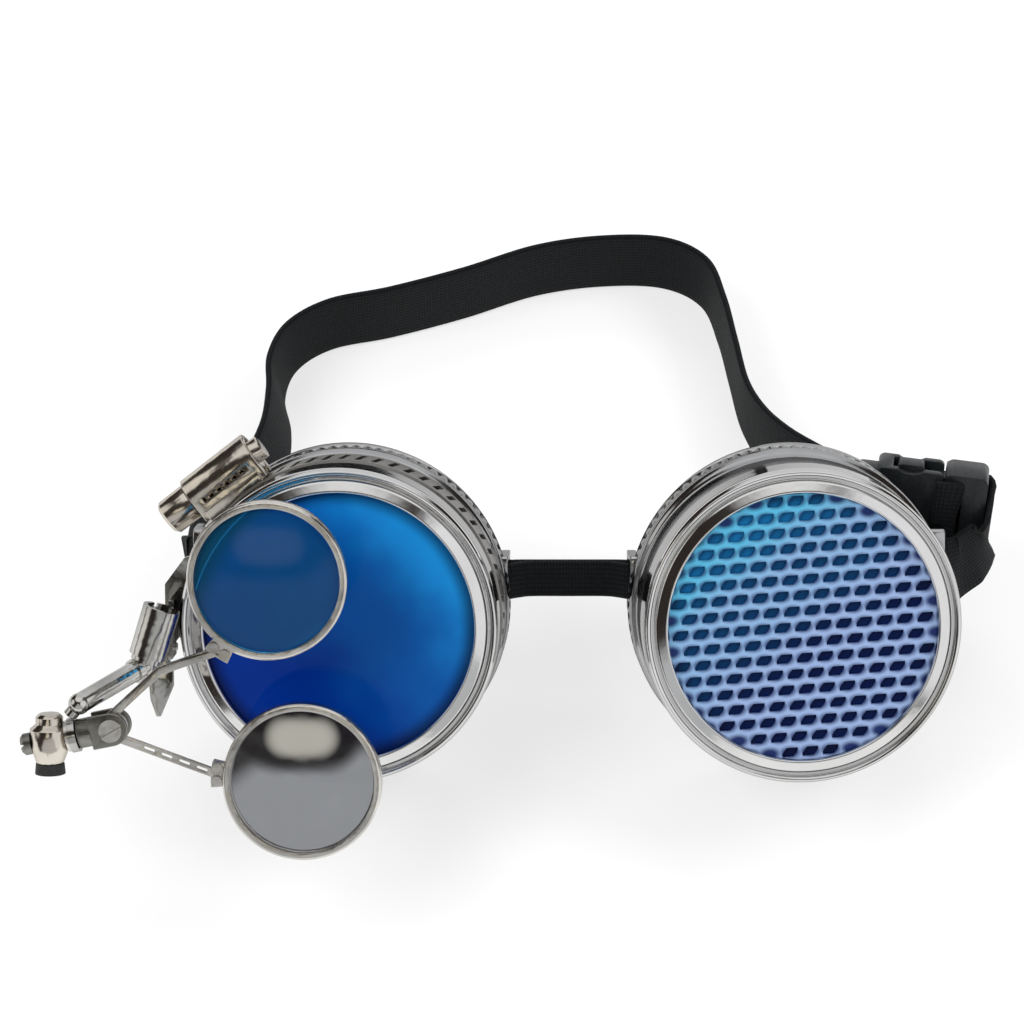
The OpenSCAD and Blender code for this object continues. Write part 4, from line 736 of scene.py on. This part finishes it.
def webbing_cloth(name, colour, cord_pitch, pick_pitch):
    """Elastic webbing: cords along the band and picks across it, as two waves multiplied, in near black."""
    material, nodes, links, surface = node_tree(name)
    surface.inputs["Roughness"].default_value = 0.78
    surface.inputs["Specular IOR Level"].default_value = 0.18
    surface.inputs["Sheen Weight"].default_value = 0.03
    surface.inputs["Sheen Roughness"].default_value = 0.4
    place = nodes.new("ShaderNodeUVMap")
    place.uv_map = "weave"
    cords = nodes.new("ShaderNodeTexWave")
    cords.wave_type, cords.bands_direction = "BANDS", "Y"
    cords.inputs["Scale"].default_value = WAVE_SCALE / cord_pitch
    cords.inputs["Distortion"].default_value = 0.6
    cords.inputs["Detail Scale"].default_value = 4.0
    links.new(place.outputs["UV"], cords.inputs["Vector"])
    picks = nodes.new("ShaderNodeTexWave")
    picks.wave_type, picks.bands_direction = "BANDS", "X"
    picks.inputs["Scale"].default_value = WAVE_SCALE / pick_pitch
    picks.inputs["Distortion"].default_value = 0.5
    links.new(place.outputs["UV"], picks.inputs["Vector"])
    weave = nodes.new("ShaderNodeMath")
    weave.operation = "MULTIPLY"
    links.new(cords.outputs["Fac"], weave.inputs[0])
    links.new(picks.outputs["Fac"], weave.inputs[1])
    fuzz = nodes.new("ShaderNodeTexNoise")
    fuzz.inputs["Scale"].default_value = 6.0
    fuzz.inputs["Detail"].default_value = 6.0
    links.new(place.outputs["UV"], fuzz.inputs["Vector"])
    mixed = nodes.new("ShaderNodeMath")
    mixed.operation = "MULTIPLY_ADD"
    mixed.inputs[1].default_value = 0.5
    links.new(fuzz.outputs["Fac"], mixed.inputs[0])
    links.new(weave.outputs[0], mixed.inputs[2])
    shade = nodes.new("ShaderNodeValToRGB")
    shade.color_ramp.elements[0].position = 0.1
    shade.color_ramp.elements[0].color = tuple(c * 0.45 for c in colour) + (1,)
    shade.color_ramp.elements[1].position = 1.0
    shade.color_ramp.elements[1].color = tuple(c * 1.6 for c in colour) + (1,)
    links.new(mixed.outputs[0], shade.inputs["Fac"])
    links.new(shade.outputs["Color"], surface.inputs["Base Color"])
    bump = nodes.new("ShaderNodeBump")
    bump.inputs["Strength"].default_value = 0.5
    bump.inputs["Distance"].default_value = 0.0002
    links.new(weave.outputs[0], bump.inputs["Height"])
    links.new(bump.outputs["Normal"], surface.inputs["Normal"])
    return material


def bar_loop(side, bar_x, rise, radius, angles):
    """Rows of a strap round a bar of a cup: a circle across the bar, with the width along the bar."""
    a = np.radians(angles)
    points = np.stack([bar_x + radius * np.cos(a), BAR_B + radius * np.sin(a), np.full(len(a), rise)], 1)
    up = from_cup(side, points + [0, 0, 1]) - from_cup(side, points)
    return np.hstack([from_cup(side, points), up * 1000])


black_webbing = webbing_cloth("black_webbing", (0.0065, 0.0075, 0.0085), 0.09, 0.06)
left_end = bar_loop(-1, TEMPLE_X, TAB_RISE, LOOP_R, np.arange(180, 361, 15))
tail = left_end[:1].copy()
tail[:, :3] = from_cup(-1, [[TEMPLE_X - LOOP_R, BAR_B + 7, TAB_RISE]])
# Head strap: from the left temple bar over the table, on its lower edge, to the socket's bar.
# Rows of the plan: its middle in mm, and the direction of its width
plan = np.array([[-72.5, 36, 16.5, 0, 0.5, 1], [-68, 46.5, 13, -0.1, 0.3, 1], [-62.5, 57, 11, -0.2, 0.1, 1],
    [-59, 67.3, 10, -0.25, 0, 1], [-58.4, 76, 9.7, -0.22, 0, 1], [-59.2, 84.5, 9.5, -0.12, 0, 1],
    [-56.3, 92.5, 9.5, -0.05, 0, 1], [-48.5, 98.3, 9.5, 0, 0, 1], [-36, 101.5, 9.5, 0, 0, 1],
    [-21, 106.5, 9.5, 0, 0, 1], [-6, 112.5, 9.5, 0, 0, 1], [8, 115, 9.5, 0, 0, 1],
    [21, 114.5, 9.5, 0, 0, 1], [29.3, 109.3, 9.5, 0, 0, 1], [32.6, 99.5, 9.5, 0, 0, 1],
    [34.6, 88.5, 9.5, 0, 0, 1], [36.6, 77.5, 9.6, 0, 0, 1], [40, 68.3, 11.2, 0, 0.1, 1],
    [44.5, 59.8, 14.5, 0, 0.25, 1], [50, 52, 18.5, 0, 0.4, 1]], float)
# Height of the middle in the plan where the strap stands on the table, and its play above the table
PLAN_Z, TABLE_PLAY = 9.5, 0.1
plan[:, :3] = (plan[:, :3] + [SHIFT[0], SHIFT[1], STRAP_W / 2 + TABLE_PLAY - PLAN_Z]) / 1000
plan[:, 3:] /= np.linalg.norm(plan[:, 3:], axis=1)[:, None]

# Place, lean and turn of the buckle; along it, the middle of the socket's bar, its width and thickness;
# and the plug's end and thickness
BUCKLE_AT = np.array([66.9 + SHIFT[0], 40.9 + SHIFT[1], 21.5])
BUCKLE_LEAN, BUCKLE_TURN = math.radians(25), math.radians(9)
SOCKET_BAR_X, SOCKET_BAR_W, SOCKET_T, PLUG_END_X, PLUG_T = 5.4 - 17 + 0.75, 1.5, 3.2, 14.1, 6.6


def from_buckle(points):
    """Points of the buckle's own frame (along it, back, up, in mm) as points of the table's frame in metres."""
    p = np.asarray(points, float)
    y = p[..., 1] * math.cos(BUCKLE_LEAN) + p[..., 2] * math.sin(BUCKLE_LEAN)
    z = p[..., 2] * math.cos(BUCKLE_LEAN) - p[..., 1] * math.sin(BUCKLE_LEAN)
    c, s = math.cos(BUCKLE_TURN), math.sin(BUCKLE_TURN)
    return (np.stack([p[..., 0] * c + y * s, y * c - p[..., 0] * s, z], -1) + BUCKLE_AT) / 1000


buckle_up = (from_buckle([[0, 0, 1]]) - from_buckle([[0, 0, 0]]))[0] * 1000
a = np.radians(np.arange(110, -131, -15))
loop_x = SOCKET_BAR_X + (SOCKET_BAR_W / 2 + PLAY + STRAP_T / 2 + 0.1) * np.cos(a)
loop = np.stack([loop_x, (SOCKET_T / 2 + PLAY + STRAP_T / 2 + 0.7) * np.sin(a), 0 * a], 1)
socket_end = np.hstack([from_buckle(loop), np.tile(buckle_up, (len(a), 1))])
PATH_STEPS = 14
head_path = smooth_path(np.vstack([tail, left_end, plan, socket_end]), PATH_STEPS)
head_strap = webbing("elastic_head_strap", head_path, STRAP_W / 1000, STRAP_T / 1000)
head_strap.data.materials.append(black_webbing)
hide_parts("head_strap")
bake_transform(head_strap)

# Buckle strap: from the right temple bar round the plug's end, in at the back of its slot and out at the front,
# where a short tail lies on it.
right_start = bar_loop(1, TEMPLE_X, TAB_RISE, LOOP_R, np.linspace(150, 345, 14))
WRAP_X, WRAP_Y, SLOT_X = PLUG_END_X + 0.9, PLUG_T / 2 + 0.9, PLUG_END_X - 5.8
wrap = np.array([[10.5, -8.2, -5.5], [13.2, -5.6, -3.6], [WRAP_X - 0.3, -WRAP_Y + 0.6, -2.2],
    [WRAP_X, -PLUG_T / 3, -0.8], [WRAP_X, PLUG_T / 3, 0.6], [WRAP_X - 0.3, WRAP_Y - 0.5, 1.0],
    [PLUG_END_X, WRAP_Y + 0.1, 1.0], [SLOT_X + 2, WRAP_Y + 0.1, 0.8], [SLOT_X + 0.5, WRAP_Y - 0.3, 0.5],
    [SLOT_X, PLUG_T / 4, 0.3], [SLOT_X, -0.4, 0.5], [SLOT_X - 0.1, 0.3 - PLUG_T / 2, 1.8],
    [SLOT_X - 0.9, -WRAP_Y, 2.8], [SLOT_X - 2.4, -WRAP_Y - 0.55, 3.1], [SLOT_X - 4.2, -WRAP_Y - 0.65, 3.1]])
plug_end = np.hstack([from_buckle(wrap), np.tile(buckle_up, (len(wrap), 1))])
buckle_path = smooth_path(np.vstack([right_start, plug_end]), PATH_STEPS)
buckle_strap = webbing("buckle_webbing", buckle_path, (STRAP_W - 1) / 1000, STRAP_T / 1000)
buckle_strap.data.materials.append(black_webbing)
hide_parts("buckle_strap")
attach(buckle_strap, "goggles")

# Nose strap: a narrow flat band of the same webbing, closed to a loop round the cups' two inner bars.
# Its front run lies flat between them, close to its back run.
toe_c, toe_s = math.cos(TOE), math.sin(TOE)
bar = np.array([HALF_PITCH - NOSE_X * toe_c - BAR_B * toe_s, BAR_B * toe_c - NOSE_X * toe_s])
inner_y = bar[1] + LOOP_R - STRAP_T - 0.05
a = np.radians(np.linspace(60, 290, 18))
left_round = np.stack([-bar[0] + LOOP_R * np.cos(a), bar[1] + LOOP_R * np.sin(a)], 1)
right_round = left_round[::-1] * [-1, 1]
front = np.array([[-bar[0] + 2.6, bar[1] - 0.4], [-bar[0] + 5.2, inner_y - 0.05], [0, inner_y],
    [bar[0] - 5.2, inner_y - 0.05], [bar[0] - 2.6, bar[1] - 0.4]])
back_run = np.array([[x, bar[1] + LOOP_R] for x in (bar[0] - 3, 0, 3 - bar[0])])
belt = smooth_path(np.vstack([left_round, front, right_round, back_run, left_round[:1]]), 10)[:-1]
leant = np.stack([belt[:, 0], belt[:, 1] * math.cos(LEAN) + TAB_RISE * math.sin(LEAN),
    TAB_RISE * math.cos(LEAN) - belt[:, 1] * math.sin(LEAN)], 1)
rows = np.hstack([(leant + SHIFT) / 1000, np.tile([0, math.sin(LEAN), math.cos(LEAN)], (len(belt), 1))])
nose_strap = webbing("nose_webbing", rows, NOSE_W / 1000, STRAP_T / 1000, closed=True)
nose_strap.data.materials.append(black_webbing)
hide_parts("nose_strap")
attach(nose_strap, "goggles")
